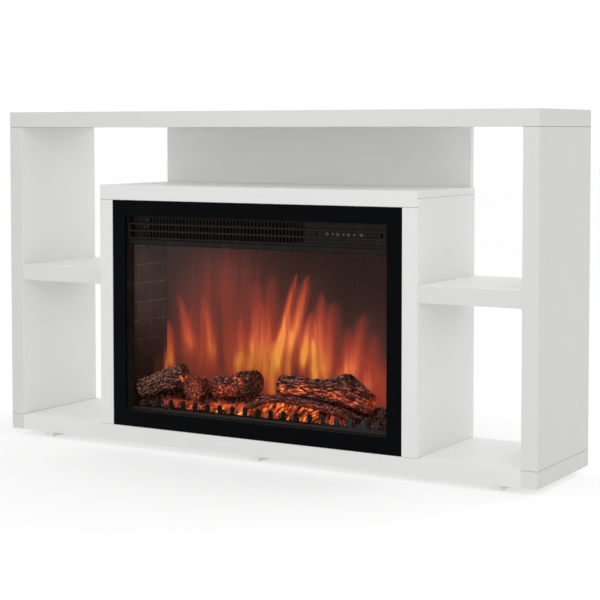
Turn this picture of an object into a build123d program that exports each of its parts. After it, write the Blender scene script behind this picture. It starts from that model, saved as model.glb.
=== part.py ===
"""An electric fireplace built into an open television console.

The console is a long low case of thick white boards that stands on three foot rails. A fan heater with a
flame picture sits in its middle bay, behind a black trim frame.

Units are millimetres. +Z is up and the front faces -Y. The origin is the middle of the footprint, at the
floor.
"""

import os
from math import cos, hypot, pi, sin

from build123d import *

os.makedirs("parts", exist_ok=True)

# ---- Driving dimensions of the console ----
WIDTH = 1400
DEPTH = 290
HEIGHT = 800
BOARD = 37  # top, bottom, side and shelf boards
THIN = 16  # dividers, mantel, face frame and back panel
FOOT_HEIGHT = 16
FOOT_WIDTH = 22
FOOT_SETBACK = 20
FOOT_SPACING = 600
BAY_HALF = 423  # outer half width of the middle bay
MANTEL_TOP = 626
MANTEL_RAIL_HEIGHT = 35
SHELF_TOP = 425
BACK_PANEL_HALF = 420
EDGE = 0.6  # eased edge of every board

FRONT = -DEPTH / 2
BACK = DEPTH / 2
SIDE_INNER = WIDTH / 2 - BOARD
BOTTOM_TOP = FOOT_HEIGHT + BOARD
TOP_UNDER = HEIGHT - BOARD
RAIL_UNDER = MANTEL_TOP - MANTEL_RAIL_HEIGHT
MANTEL_UNDER = MANTEL_TOP - THIN
STILE_INNER = BAY_HALF - BOARD
DIVIDER_INNER = BAY_HALF - THIN

# ---- Driving dimensions of the heater, depths measured back from the front plane ----
TRIM_GAP = 1
TRIM_MEMBER = 36
TRIM_THICK = 6
RECESS_DEPTH = 12  # front of the moulded fascia inside the trim
FASCIA_BACK = 24
FASCIA_HALF = 362
WINDOW_HALF = 340
WINDOW_Z = (98, 485)
OUTLET_HALF = 345
OUTLET_Z = (498, 553)
GLASS_THICK = 4
HOUSING_HALF = 365
HOUSING_BACK = 213
HOUSING_TOP = 584
SHEET = 1.2
FIREBOX_HALF = 345  # half width at the back of the firebox
FIREBOX_MOUTH_HALF = 357  # half width at its front, because the brick walls are splayed
FIREBOX_FRONT = 29
SCREEN_DEPTH = 165
CEILING_Z = 493

TRIM_HALF = STILE_INNER - TRIM_GAP
TRIM_Z = (BOTTOM_TOP + TRIM_GAP, RAIL_UNDER - TRIM_GAP)
OPENING_HALF = TRIM_HALF - TRIM_MEMBER
OPENING_Z = (TRIM_Z[0] + TRIM_MEMBER, TRIM_Z[1] - TRIM_MEMBER)


def at(depth):
    """The Y of a point this far behind the front plane."""
    return FRONT + depth


def facing(depth):
    """A sketch plane this far behind the front plane: its x is X, its y is Z, and it faces the front."""
    return Plane.XZ.offset(-at(depth))


def across(x):
    """A sketch plane square to X: its x is Y and its y is Z."""
    return Plane.YZ.offset(x)


def middle(limits):
    return (limits[0] + limits[1]) / 2


def span(limits):
    return limits[1] - limits[0]


def save(part, name):
    part.label = name
    export_step(part, f"parts/{name}.step")


# ---- Console boards: name, X limits, depth limits, Z limits ----
SIDE_Z = (BOTTOM_TOP, TOP_UNDER)
BOARDS = [
    ("top_board", (-WIDTH / 2, WIDTH / 2), (0, DEPTH), (TOP_UNDER, HEIGHT)),
    (
        "upper_back_panel",
        (-BACK_PANEL_HALF, BACK_PANEL_HALF),
        (DEPTH - THIN, DEPTH),
        (MANTEL_TOP, TOP_UNDER),
    ),
    ("mantel_rail", (-BAY_HALF, BAY_HALF), (0, THIN), (RAIL_UNDER, MANTEL_TOP)),
]
for side, sign in (("left", -1), ("right", 1)):
    shelf_x = sorted((sign * BAY_HALF, sign * SIDE_INNER))
    stile_x = sorted((sign * STILE_INNER, sign * BAY_HALF))
    BOARDS.append((f"{side}_shelf", shelf_x, (0, DEPTH), (SHELF_TOP - BOARD, SHELF_TOP)))
    BOARDS.append((f"{side}_stile", stile_x, (0, THIN), (BOTTOM_TOP, RAIL_UNDER)))
for place, x in (("left", -FOOT_SPACING), ("middle", 0), ("right", FOOT_SPACING)):
    rail_x = (x - FOOT_WIDTH / 2, x + FOOT_WIDTH / 2)
    BOARDS.append((f"{place}_foot_rail", rail_x, (FOOT_SETBACK, DEPTH - FOOT_SETBACK), (0, FOOT_HEIGHT)))

for name, x, y, z in BOARDS:
    with BuildPart() as board:
        with BuildSketch(Plane.XY.offset(z[0])):
            with Locations((middle(x), at(middle(y)))):
                Rectangle(span(x), span(y))
        extrude(amount=span(z))
        chamfer(board.edges(), EDGE)
    save(board.part, name)

# ---- Boards that hold fasteners ----
# Confirmat screws come up through the bottom board into each upright, two to an upright.
SCREW_R = 3.5
SCREW_CLEARANCE = 0.1
SCREW_HEAD_R = 5
SCREW_HEAD_THICK = 2
SCREW_SOCKET_R = 2.3
SCREW_TOP = BOTTOM_TOP + 22
UPRIGHT_X = (-WIDTH / 2 + BOARD / 2, -BAY_HALF + THIN / 2, BAY_HALF - THIN / 2, WIDTH / 2 - BOARD / 2)
SCREW_DEPTHS = (60, 230)
# Cam locks join the mantel board to the dividers, on the faces that the heater hides.
CAM_R = 7.5
CAM_LENGTH = 12.5
CAM_SLOT = (9, 1.6)
CAM_SLOT_DEPTH = 2
CAM_BOLT_GAP = 0.5
CAM_DROP = 34
CAM_DEPTHS = (70, 220)
CAM_BOLT_R = 3
CAM_BOLT_CLEARANCE = 0.2
CAM_BOLT_IN_MANTEL = 10
CAM_Z = MANTEL_UNDER - CAM_DROP

with BuildPart() as bottom_board:
    with BuildSketch(Plane.XY.offset(FOOT_HEIGHT)):
        Rectangle(WIDTH, DEPTH)
    extrude(amount=BOARD)
    chamfer(bottom_board.edges(), EDGE)
    with Locations(*[(x, at(d), FOOT_HEIGHT) for x in UPRIGHT_X for d in SCREW_DEPTHS]):
        Cylinder(
            SCREW_HEAD_R + SCREW_CLEARANCE,
            SCREW_HEAD_THICK,
            align=(Align.CENTER, Align.CENTER, Align.MIN),
            mode=Mode.SUBTRACT,
        )
        Cylinder(
            SCREW_R + SCREW_CLEARANCE,
            BOARD,
            align=(Align.CENTER, Align.CENTER, Align.MIN),
            mode=Mode.SUBTRACT,
        )
save(bottom_board.part, "bottom_board")

for side, sign in (("left", -1), ("right", 1)):
    panel_x = sign * (WIDTH / 2 - BOARD / 2)
    with BuildPart() as side_panel:
        with BuildSketch(Plane.XY.offset(BOTTOM_TOP)):
            with Locations((panel_x, 0)):
                Rectangle(BOARD, DEPTH)
        extrude(amount=span(SIDE_Z))
        chamfer(side_panel.edges(), EDGE)
        with Locations(*[(panel_x, at(d), BOTTOM_TOP) for d in SCREW_DEPTHS]):
            Cylinder(
                SCREW_R + SCREW_CLEARANCE,
                SCREW_TOP - BOTTOM_TOP,
                align=(Align.CENTER, Align.CENTER, Align.MIN),
                mode=Mode.SUBTRACT,
            )
    save(side_panel.part, f"{side}_side_panel")

    divider_x = sign * (BAY_HALF - THIN / 2)
    with BuildPart() as divider:
        with BuildSketch(Plane.XY.offset(BOTTOM_TOP)):
            with Locations((divider_x, THIN / 2)):
                Rectangle(THIN, DEPTH - THIN)
        extrude(amount=MANTEL_UNDER - BOTTOM_TOP)
        chamfer(divider.edges(), EDGE)
        with Locations(*[(divider_x, at(d), BOTTOM_TOP) for d in SCREW_DEPTHS]):
            Cylinder(
                SCREW_R + SCREW_CLEARANCE,
                SCREW_TOP - BOTTOM_TOP,
                align=(Align.CENTER, Align.CENTER, Align.MIN),
                mode=Mode.SUBTRACT,
            )
        with Locations(*[(sign * DIVIDER_INNER, at(d), CAM_Z) for d in CAM_DEPTHS]):
            Cylinder(
                CAM_R + CAM_BOLT_CLEARANCE,
                2 * CAM_LENGTH,
                rotation=(0, 90, 0),
                mode=Mode.SUBTRACT,
            )
        with Locations(*[(divider_x, at(d), MANTEL_UNDER) for d in CAM_DEPTHS]):
            Cylinder(
                CAM_BOLT_R + CAM_BOLT_CLEARANCE,
                CAM_DROP,
                align=(Align.CENTER, Align.CENTER, Align.MAX),
                mode=Mode.SUBTRACT,
            )
    save(divider.part, f"{side}_divider")

CAM_PLACES = [(sign, d) for sign in (-1, 1) for d in CAM_DEPTHS]

with BuildPart() as mantel_board:
    with BuildSketch(Plane.XY.offset(MANTEL_UNDER)):
        with Locations((0, THIN / 2)):
            Rectangle(2 * BAY_HALF, DEPTH - THIN)
    extrude(amount=THIN)
    chamfer(mantel_board.edges(), EDGE)
    with Locations(*[(s * (BAY_HALF - THIN / 2), at(d), MANTEL_UNDER) for s, d in CAM_PLACES]):
        Cylinder(
            CAM_BOLT_R + CAM_BOLT_CLEARANCE,
            CAM_BOLT_IN_MANTEL,
            align=(Align.CENTER, Align.CENTER, Align.MIN),
            mode=Mode.SUBTRACT,
        )
save(mantel_board.part, "mantel_board")

with BuildPart() as bottom_screws:
    with Locations(*[(x, at(d), FOOT_HEIGHT) for x in UPRIGHT_X for d in SCREW_DEPTHS]):
        Cylinder(SCREW_HEAD_R, SCREW_HEAD_THICK, align=(Align.CENTER, Align.CENTER, Align.MIN))
        Cylinder(
            SCREW_R,
            SCREW_TOP - FOOT_HEIGHT - 1,
            align=(Align.CENTER, Align.CENTER, Align.MIN),
        )
    with BuildSketch(Plane.XY.offset(FOOT_HEIGHT)):
        with Locations(*[(x, at(d)) for x in UPRIGHT_X for d in SCREW_DEPTHS]):
            RegularPolygon(SCREW_SOCKET_R, 6)
    extrude(amount=SCREW_HEAD_THICK, mode=Mode.SUBTRACT)
save(bottom_screws.part, "bottom_screws")

with BuildPart() as cam_locks:
    for sign, d in CAM_PLACES:
        cam_face = Plane(
            origin=(sign * DIVIDER_INNER, at(d), CAM_Z), x_dir=(0, 1, 0), z_dir=(sign, 0, 0)
        )
        with BuildSketch(cam_face):
            Circle(CAM_R)
        extrude(amount=CAM_LENGTH)
        with BuildSketch(cam_face):
            Rectangle(*CAM_SLOT)
            Rectangle(*CAM_SLOT[::-1])
        extrude(amount=CAM_SLOT_DEPTH, mode=Mode.SUBTRACT)
        with Locations((sign * (BAY_HALF - THIN / 2), at(d), CAM_Z + CAM_R + CAM_BOLT_GAP)):
            Cylinder(
                CAM_BOLT_R,
                CAM_DROP - CAM_R - CAM_BOLT_GAP + CAM_BOLT_IN_MANTEL - 1,
                align=(Align.CENTER, Align.CENTER, Align.MIN),
            )
save(cam_locks.part, "cam_locks")

# ---- Trim frame and moulded fascia ----
with BuildPart() as trim_frame:
    with BuildSketch(facing(0)):
        with Locations((0, middle(TRIM_Z))):
            Rectangle(2 * TRIM_HALF, span(TRIM_Z))
        with Locations((0, middle(OPENING_Z))):
            Rectangle(2 * OPENING_HALF, span(OPENING_Z), mode=Mode.SUBTRACT)
    extrude(amount=-TRIM_THICK)
    chamfer(trim_frame.faces().sort_by(Axis.Y)[0].edges(), EDGE)
save(trim_frame.part, "trim_frame")

FASCIA_MARGIN = 16  # how far the fascia reaches behind the trim
FASCIA_Z = (OPENING_Z[0] - FASCIA_MARGIN, OPENING_Z[1] + FASCIA_MARGIN)
LIP_DEPTH = 20
LIP_WIDTH = 3
SILL_FRONT_Z = OPENING_Z[0]

with BuildPart() as inner_fascia:
    with BuildSketch(facing(TRIM_THICK)):
        with Locations((0, middle(FASCIA_Z))):
            Rectangle(2 * FASCIA_HALF, span(FASCIA_Z))
    extrude(amount=-(FASCIA_BACK - TRIM_THICK))
    with BuildSketch(facing(TRIM_THICK)):
        with Locations((0, middle(OPENING_Z))):
            Rectangle(2 * OPENING_HALF, span(OPENING_Z))
    extrude(amount=-(RECESS_DEPTH - TRIM_THICK), mode=Mode.SUBTRACT)
    with BuildSketch(facing(RECESS_DEPTH)):
        with Locations((0, middle(WINDOW_Z))):
            Rectangle(2 * (WINDOW_HALF + LIP_WIDTH), span(WINDOW_Z) + 2 * LIP_WIDTH)
    extrude(amount=-(LIP_DEPTH - RECESS_DEPTH), mode=Mode.SUBTRACT)
    with BuildSketch(facing(RECESS_DEPTH)):
        with Locations((0, middle(WINDOW_Z))):
            Rectangle(2 * WINDOW_HALF, span(WINDOW_Z))
        with Locations((0, middle(OUTLET_Z))):
            Rectangle(2 * OUTLET_HALF, span(OUTLET_Z))
    extrude(amount=-(FASCIA_BACK - RECESS_DEPTH), mode=Mode.SUBTRACT)
    with BuildSketch(across(0)):
        with BuildLine():
            Polyline(
                (at(RECESS_DEPTH), SILL_FRONT_Z),
                (at(LIP_DEPTH), WINDOW_Z[0]),
                (at(LIP_DEPTH), SILL_FRONT_Z),
                close=True,
            )
        make_face()
    extrude(amount=WINDOW_HALF + LIP_WIDTH, both=True)
save(inner_fascia.part, "inner_fascia")

# ---- Air outlet: three louvre bars in front of a slotted grille ----
LOUVRE_Z = (501.5, 518.5, 535)
LOUVRE_THICK = 3.4
LOUVRE_FRONT = 8
LOUVRE_BACK = 22
LOUVRE_HALF = OUTLET_HALF - 0.5
LOUVRE_CHAMFER = 0.4
PANEL_LEFT = 138  # the control panel fills the outlet to the right of this
PANEL_FRONT = 14
PANEL_BACK = 18
POST_WIDTH = 4
LOUVRE_SPANS = (
    (-LOUVRE_HALF, PANEL_LEFT - 1, LOUVRE_BACK),  # deep blades in front of the grille
    (PANEL_LEFT - 1, LOUVRE_HALF, PANEL_FRONT),  # shallow bars across the control panel
)

with BuildPart() as louvre_frame:
    for start, end, back in LOUVRE_SPANS:
        with BuildSketch(facing(LOUVRE_FRONT)):
            with Locations(*[((start + end) / 2, z) for z in LOUVRE_Z]):
                Rectangle(end - start, LOUVRE_THICK)
        extrude(amount=-(back - LOUVRE_FRONT))
    post_z = (LOUVRE_Z[0] - LOUVRE_THICK / 2, LOUVRE_Z[-1] + LOUVRE_THICK / 2)
    for x in (-LOUVRE_HALF + POST_WIDTH / 2, LOUVRE_HALF - POST_WIDTH / 2):
        with BuildSketch(facing(LOUVRE_FRONT)):
            with Locations((x, middle(post_z))):
                Rectangle(POST_WIDTH, span(post_z))
        extrude(amount=-(PANEL_FRONT - LOUVRE_FRONT))
    chamfer(louvre_frame.faces().sort_by(Axis.Y)[0].edges(), LOUVRE_CHAMFER)
save(louvre_frame.part, "louvre_frame")

SLOT_PITCH = 9.4
SLOT_COUNT = 47
SLOT_WIDTH = 4.6
SLOT_FIRST_X = -308
SLOT_ROWS = ((504.5, 515.5), (521.5, 532), (538.5, 549))
GRILLE_Z = (OUTLET_Z[0] + 0.5, OUTLET_Z[1] - 0.5)

with BuildPart() as outlet_grille:
    grille_x = (-LOUVRE_HALF, PANEL_LEFT - 1)
    with BuildSketch(facing(LOUVRE_BACK)):
        with Locations((middle(grille_x), middle(GRILLE_Z))):
            Rectangle(span(grille_x), span(GRILLE_Z))
        for row in SLOT_ROWS:
            with Locations(*[(SLOT_FIRST_X + i * SLOT_PITCH, middle(row)) for i in range(SLOT_COUNT)]):
                Rectangle(SLOT_WIDTH, span(row), mode=Mode.SUBTRACT)
    extrude(amount=-(FASCIA_BACK - LOUVRE_BACK))
save(outlet_grille.part, "outlet_grille")

# ---- Control panel, its buttons, lenses and power switch ----
CONTROL_Z = middle((LOUVRE_Z[1], LOUVRE_Z[2]))
BUTTONS = (("flame_button", 195), ("low_heat_button", 222), ("high_heat_button", 249))
BUTTON_R = 4.5
BUTTON_CLEARANCE = 0.3
BUTTON_FILLET = 0.8
BUTTON_FRONT = 11.8
BUTTON_FLANGE_R = 5.8
BUTTON_FLANGE = (18.4, 19.4)
BUTTON_STEM_R = 1.6
BUTTON_STEM_BACK = 20.6
BUTTON_TRAVEL = 1.5
LENS_R = 2.6
LENS_AFTER_BUTTON = 13.5
LENS_FRONT = 13.4
RECEIVER_X = 280
RECEIVER_SIZE = (9, 6)
SWITCH_X = 308
SWITCH_OPENING = (27, 12.8)
ROCKER_SIZE = (25, 12)
VENT_SLOTS_X = (167, 330)  # one narrow slot at each end of the row of controls
VENT_SLOT = (4, 10)
ROCKER_PIVOT_DEPTH = 20
ROCKER_PIN_R = 1.2
ROCKER_BORE_R = 1.25
ROCKER_TILT = 7  # degrees either side of square

with BuildPart() as control_panel:
    panel_x = (PANEL_LEFT, LOUVRE_HALF)
    with BuildSketch(facing(PANEL_FRONT)):
        with Locations((middle(panel_x), middle(GRILLE_Z))):
            Rectangle(span(panel_x), span(GRILLE_Z))
        with Locations(*[(x, CONTROL_Z) for _, x in BUTTONS]):
            Circle(BUTTON_R + BUTTON_CLEARANCE, mode=Mode.SUBTRACT)
        with Locations(*[(x + LENS_AFTER_BUTTON, CONTROL_Z) for _, x in BUTTONS]):
            Circle(LENS_R, mode=Mode.SUBTRACT)
        with Locations((RECEIVER_X, CONTROL_Z)):
            Ellipse(RECEIVER_SIZE[0] / 2, RECEIVER_SIZE[1] / 2, mode=Mode.SUBTRACT)
        with Locations((SWITCH_X, CONTROL_Z)):
            Rectangle(*SWITCH_OPENING, mode=Mode.SUBTRACT)
        with Locations(*[(x, CONTROL_Z) for x in VENT_SLOTS_X]):
            Rectangle(*VENT_SLOT, mode=Mode.SUBTRACT)
    extrude(amount=-(PANEL_BACK - PANEL_FRONT))
save(control_panel.part, "control_panel")

for name, x in BUTTONS:
    with BuildPart() as button:
        with BuildSketch(facing(BUTTON_FRONT)):
            with Locations((x, CONTROL_Z)):
                Circle(BUTTON_R)
        extrude(amount=-(BUTTON_FLANGE[0] - BUTTON_FRONT))
        fillet(button.faces().sort_by(Axis.Y)[0].edges(), BUTTON_FILLET)
        with BuildSketch(facing(BUTTON_FLANGE[0])):
            with Locations((x, CONTROL_Z)):
                Circle(BUTTON_FLANGE_R)
        extrude(amount=-span(BUTTON_FLANGE))
        with BuildSketch(facing(BUTTON_FLANGE[1])):
            with Locations((x, CONTROL_Z)):
                Circle(BUTTON_STEM_R)
        extrude(amount=-(BUTTON_STEM_BACK - BUTTON_FLANGE[1]))
    save(button.part, name)

with BuildPart() as panel_lenses:
    with BuildSketch(facing(LENS_FRONT)):
        with Locations(*[(x + LENS_AFTER_BUTTON, CONTROL_Z) for _, x in BUTTONS]):
            Circle(LENS_R)
        with Locations((RECEIVER_X, CONTROL_Z)):
            Ellipse(RECEIVER_SIZE[0] / 2, RECEIVER_SIZE[1] / 2)
    extrude(amount=-(PANEL_BACK - LENS_FRONT))
save(panel_lenses.part, "panel_lenses")

SWITCH_BODY_X = (SWITCH_X - 16, SWITCH_X + 16)
SWITCH_BODY_DEPTHS = (PANEL_BACK, 36)
SWITCH_CAVITY_BACK = 30
SWITCH_WALL = 2

with BuildPart() as switch_body:
    body_height = SWITCH_OPENING[1] + 2 * SWITCH_WALL + 2
    with BuildSketch(facing(PANEL_BACK)):
        with Locations((SWITCH_X, CONTROL_Z)):
            Rectangle(span(SWITCH_BODY_X), body_height)
    extrude(amount=-span(SWITCH_BODY_DEPTHS))
    with BuildSketch(facing(PANEL_BACK)):
        with Locations((SWITCH_X, CONTROL_Z)):
            Rectangle(span(SWITCH_BODY_X) - 2 * SWITCH_WALL, body_height - 2 * SWITCH_WALL)
    extrude(amount=-(SWITCH_CAVITY_BACK - PANEL_BACK), mode=Mode.SUBTRACT)
    with BuildSketch(Plane.XY.offset(CONTROL_Z)):
        with Locations((SWITCH_X, at(ROCKER_PIVOT_DEPTH))):
            Circle(ROCKER_PIN_R)
    extrude(amount=body_height / 2, both=True)
save(switch_body.part, "switch_body")

rocker_turn = Location((SWITCH_X, at(ROCKER_PIVOT_DEPTH), CONTROL_Z), (0, 0, ROCKER_TILT))
with BuildPart() as rocker_switch:
    with BuildSketch(Plane(rocker_turn)):
        with BuildLine():
            half = ROCKER_SIZE[0] / 2
            ThreePointArc((-half, -5), (0, -7), (half, -5))
            Polyline((half, -5), (half, -2), (4, 2.5), (-4, 2.5), (-half, -2), (-half, -5))
        make_face()
        Circle(ROCKER_BORE_R, mode=Mode.SUBTRACT)
    extrude(amount=ROCKER_SIZE[1] / 2, both=True)
save(rocker_switch.part, "rocker_switch")

# ---- Window and firebox ----
GLASS_HALF = WINDOW_HALF + 7
GLASS_Z = (WINDOW_Z[0] - 6, WINDOW_Z[1] + 5)

with BuildPart() as front_glass:
    with BuildSketch(facing(FASCIA_BACK)):
        with Locations((0, middle(GLASS_Z))):
            Rectangle(2 * GLASS_HALF, span(GLASS_Z))
    extrude(amount=-GLASS_THICK)
save(front_glass.part, "front_glass")

BRICK_PANEL_THICK = 4
BRICK_PANEL_Z = (62, CEILING_Z)
COURSE = 45
COURSE_FIRST_Z = 73
BRICK_LENGTH = 92
JOINT_WIDTH = 2.4
JOINT_DEPTH = 1.2
WALL_RUN = SCREEN_DEPTH - FIREBOX_FRONT - 0.5
WALL_LENGTH = hypot(WALL_RUN, FIREBOX_MOUTH_HALF - FIREBOX_HALF)
WALL_COS = WALL_RUN / WALL_LENGTH
WALL_SIN = (FIREBOX_MOUTH_HALF - FIREBOX_HALF) / WALL_LENGTH

for side, sign in (("left", -1), ("right", 1)):
    # The sketch plane lies on the wall's inner face: its x runs from the mouth to the back, and its y is Z.
    wall = Plane(
        origin=(sign * FIREBOX_MOUTH_HALF, at(FIREBOX_FRONT), 0),
        x_dir=(-sign * WALL_SIN, WALL_COS, 0),
        z_dir=(WALL_COS, sign * WALL_SIN, 0),
    )
    with BuildPart() as brick_panel:
        with BuildSketch(wall):
            with Locations((WALL_LENGTH / 2, middle(BRICK_PANEL_Z))):
                Rectangle(WALL_LENGTH, span(BRICK_PANEL_Z))
        extrude(amount=sign * BRICK_PANEL_THICK)
        with BuildSketch(wall):
            for course in range(int(span(BRICK_PANEL_Z) // COURSE) + 1):
                z = COURSE_FIRST_Z + course * COURSE
                with Locations((WALL_LENGTH / 2, z)):
                    Rectangle(WALL_LENGTH, JOINT_WIDTH)
                first = (0.35 if course % 2 else 0.85) * BRICK_LENGTH
                top = min(z + COURSE, BRICK_PANEL_Z[1])
                for along in (first, first + BRICK_LENGTH):
                    if along < WALL_LENGTH - JOINT_WIDTH:
                        with Locations((along, middle((z, top)))):
                            Rectangle(JOINT_WIDTH, top - z)
        extrude(amount=sign * JOINT_DEPTH, mode=Mode.SUBTRACT)
    save(brick_panel.part, f"{side}_brick_panel")

CABLE_X = 312
CABLE_DEPTH = 204
CABLE_R = 3
CEILING_HALF = HOUSING_HALF - SHEET
with BuildPart() as firebox_ceiling:
    with BuildSketch(Plane.XY.offset(CEILING_Z)):
        ceiling_depths = (FIREBOX_FRONT, HOUSING_BACK - SHEET)
        with Locations((0, at(middle(ceiling_depths)))):
            Rectangle(2 * CEILING_HALF, span(ceiling_depths))
        with Locations((CABLE_X, at(CABLE_DEPTH))):
            Circle(CABLE_R + 2, mode=Mode.SUBTRACT)
    extrude(amount=SHEET)
save(firebox_ceiling.part, "firebox_ceiling")

# Each log: its name, then the middle and radius of its sections from end to end, as (X, depth, Z, radius).
LOGS = [
    ("left_log", (-342, 52, 135, 24), (-230, 80, 178, 26)),
    ("small_log", (-193, 56, 149, 29), (-193, 100, 147, 22)),
    ("middle_log", (-142, 80, 151, 26), (-25, 68, 174, 30)),
    ("right_log", (39, 70, 173, 23), (146, 70, 168, 25), (206, 74, 174, 38), (276, 66, 149, 26)),
    ("end_log", (326, 50, 124, 24), (322, 116, 134, 22)),
]
END_LOG_GAP = 0.4


def log_solid(sections, extra=0):
    """A log through its sections, all square to the line between its two ends."""
    centres = [Vector(x, at(d), z) for x, d, z, _ in sections]
    axis = centres[-1] - centres[0]
    with BuildPart() as log:
        for centre, section in zip(centres, sections):
            with BuildSketch(Plane(origin=centre, z_dir=axis)):
                Circle(section[3] + extra)
        loft(ruled=True)
    return log.part


BED_PROFILE = ((37, 62), (37, 97), (60, 111), (110, 123), (160, 127), (160, 62))
BED_HOLLOW = ((41, 62), (41, 94.5), (62, 107), (110, 119), (156, 123), (156, 62))
BED_HALF = FIREBOX_HALF - 0.5
with BuildPart() as ember_bed:
    for profile, mode in ((BED_PROFILE, Mode.ADD), (BED_HOLLOW, Mode.SUBTRACT)):
        with BuildSketch(across(0)):
            with BuildLine():
                Polyline(*[(at(d), z) for d, z in profile], close=True)
            make_face()
        extrude(amount=BED_HALF, both=True, mode=mode)
    # The end log lies in a pocket in the bed.
    add(log_solid(LOGS[-1][1:], END_LOG_GAP), mode=Mode.SUBTRACT)
save(ember_bed.part, "ember_bed")

for name, *sections in LOGS:
    save(log_solid(sections), name)

BRANCH_R = 9
BRANCH_DEPTH = 46
BRANCH_PATH = ((-46, 114), (8, 138), (60, 144), (154, 135), (268, 118))
with BuildPart() as front_branch:
    with BuildLine() as branch_line:
        Spline(*[(x, at(BRANCH_DEPTH), z) for x, z in BRANCH_PATH])
    with BuildSketch(branch_line.line ^ 0):
        Circle(BRANCH_R)
    sweep()
save(front_branch.part, "front_branch")

GRATE_DEPTHS = (31, 35)
GRATE_BAR_Z = (91, 100)
GRATE_TOP = 119
FINGER_COUNT = 19
FINGER_PITCH = 34.5
FINGER_WIDTH = 11
GRATE_CHAMFER = 0.8
with BuildPart() as front_grate:
    with BuildSketch(facing(GRATE_DEPTHS[0])):
        with Locations((0, middle(GRATE_BAR_Z))):
            Rectangle(2 * BED_HALF, span(GRATE_BAR_Z))
        finger_height = GRATE_TOP - GRATE_BAR_Z[0]
        first_x = -FINGER_PITCH * (FINGER_COUNT - 1) / 2
        with Locations(
            *[(first_x + i * FINGER_PITCH, GRATE_BAR_Z[0] + finger_height / 2) for i in range(FINGER_COUNT)]
        ):
            RectangleRounded(FINGER_WIDTH, finger_height, FINGER_WIDTH / 2 - 0.1)
    extrude(amount=-span(GRATE_DEPTHS))
    chamfer(front_grate.faces().sort_by(Axis.Y)[0].edges(), GRATE_CHAMFER)
save(front_grate.part, "front_grate")

SCREEN_THICK = 3
SCREEN_Z = (80, CEILING_Z)
with BuildPart() as flame_screen:
    with BuildSketch(facing(SCREEN_DEPTH)):
        with Locations((0, middle(SCREEN_Z))):
            Rectangle(2 * (FIREBOX_HALF + BRICK_PANEL_THICK), span(SCREEN_Z))
    extrude(amount=-SCREEN_THICK)
save(flame_screen.part, "flame_screen")

# ---- Flame effect: a mask with tongue-shaped openings, and a spindle of bright flags behind it ----
MASK_DEPTH = 172
MASK_THICK = 1
TONGUE_COUNT = 9
TONGUE_PITCH = 72
TONGUE_BASE_Z = 155
TONGUE_HEIGHTS = (150, 210, 250)
TONGUE_HALF = 22
with BuildPart() as flame_mask:
    with BuildSketch(facing(MASK_DEPTH)):
        with Locations((0, middle(SCREEN_Z))):
            Rectangle(2 * FIREBOX_HALF, span(SCREEN_Z))
    extrude(amount=-MASK_THICK)
    with BuildSketch(facing(MASK_DEPTH)):
        for i in range(TONGUE_COUNT):
            x = (i - (TONGUE_COUNT - 1) / 2) * TONGUE_PITCH
            height = TONGUE_HEIGHTS[i % len(TONGUE_HEIGHTS)]
            tip = (x + 10, TONGUE_BASE_Z + height)
            with BuildLine():
                Spline((x - TONGUE_HALF, TONGUE_BASE_Z), (x - 14, TONGUE_BASE_Z + height * 0.45), tip)
                Spline(tip, (x + 18, TONGUE_BASE_Z + height * 0.4), (x + TONGUE_HALF, TONGUE_BASE_Z))
                Line((x + TONGUE_HALF, TONGUE_BASE_Z), (x - TONGUE_HALF, TONGUE_BASE_Z))
            make_face()
    extrude(amount=-MASK_THICK, mode=Mode.SUBTRACT)
save(flame_mask.part, "flame_mask")

ROTOR_DEPTH = 192
ROTOR_Z = 125
ROTOR_X = (-338, 338)
ROTOR_ROD_R = 3
ROTOR_BORE_R = 3.05
FLAG_COUNT = 12
FLAG_LENGTH = 44
FLAG_PITCH = 52
FLAG_WIDTH = 30
FLAG_THICK = 0.8
FLAG_TURN = 45
with BuildPart() as flame_rotor:
    with BuildSketch(across(ROTOR_X[0])):
        with Locations((at(ROTOR_DEPTH), ROTOR_Z)):
            Circle(ROTOR_ROD_R)
    extrude(amount=span(ROTOR_X))
    for i in range(FLAG_COUNT):
        x = (i - (FLAG_COUNT - 1) / 2) * FLAG_PITCH
        with Locations(Location((x, at(ROTOR_DEPTH), ROTOR_Z), (i * FLAG_TURN, 0, 0))):
            Box(FLAG_LENGTH, FLAG_WIDTH, FLAG_THICK)
save(flame_rotor.part, "flame_rotor")

MOTOR_X = (330, 346)
MOTOR_R = 18
FOOT_PLATE_DEPTHS = (ROTOR_DEPTH - 17, HOUSING_BACK)
FOOT_PLATE_HEIGHT = 44
BUSH_X = (-342, -334)
BUSH_R = 8
for name, x, plate_x, radius in (
    ("flame_motor", MOTOR_X, (MOTOR_X[0], MOTOR_X[0] + 2), MOTOR_R),
    ("rotor_bush", BUSH_X, (BUSH_X[0], BUSH_X[0] + 3), BUSH_R),
):
    with BuildPart() as bearing:
        with BuildSketch(across(x[0])):
            with Locations((at(ROTOR_DEPTH), ROTOR_Z)):
                Circle(radius)
        extrude(amount=span(x))
        with BuildSketch(across(plate_x[0])):
            with Locations((at(middle(FOOT_PLATE_DEPTHS)), ROTOR_Z)):
                Rectangle(span(FOOT_PLATE_DEPTHS), FOOT_PLATE_HEIGHT)
        extrude(amount=span(plate_x))
        bore_x = (max(x[0], ROTOR_X[0] - 0.5), min(x[1], ROTOR_X[1] + 0.5))
        with BuildSketch(across(bore_x[0])):
            with Locations((at(ROTOR_DEPTH), ROTOR_Z)):
                Circle(ROTOR_BORE_R)
        extrude(amount=span(bore_x), mode=Mode.SUBTRACT)
    save(bearing.part, name)

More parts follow.
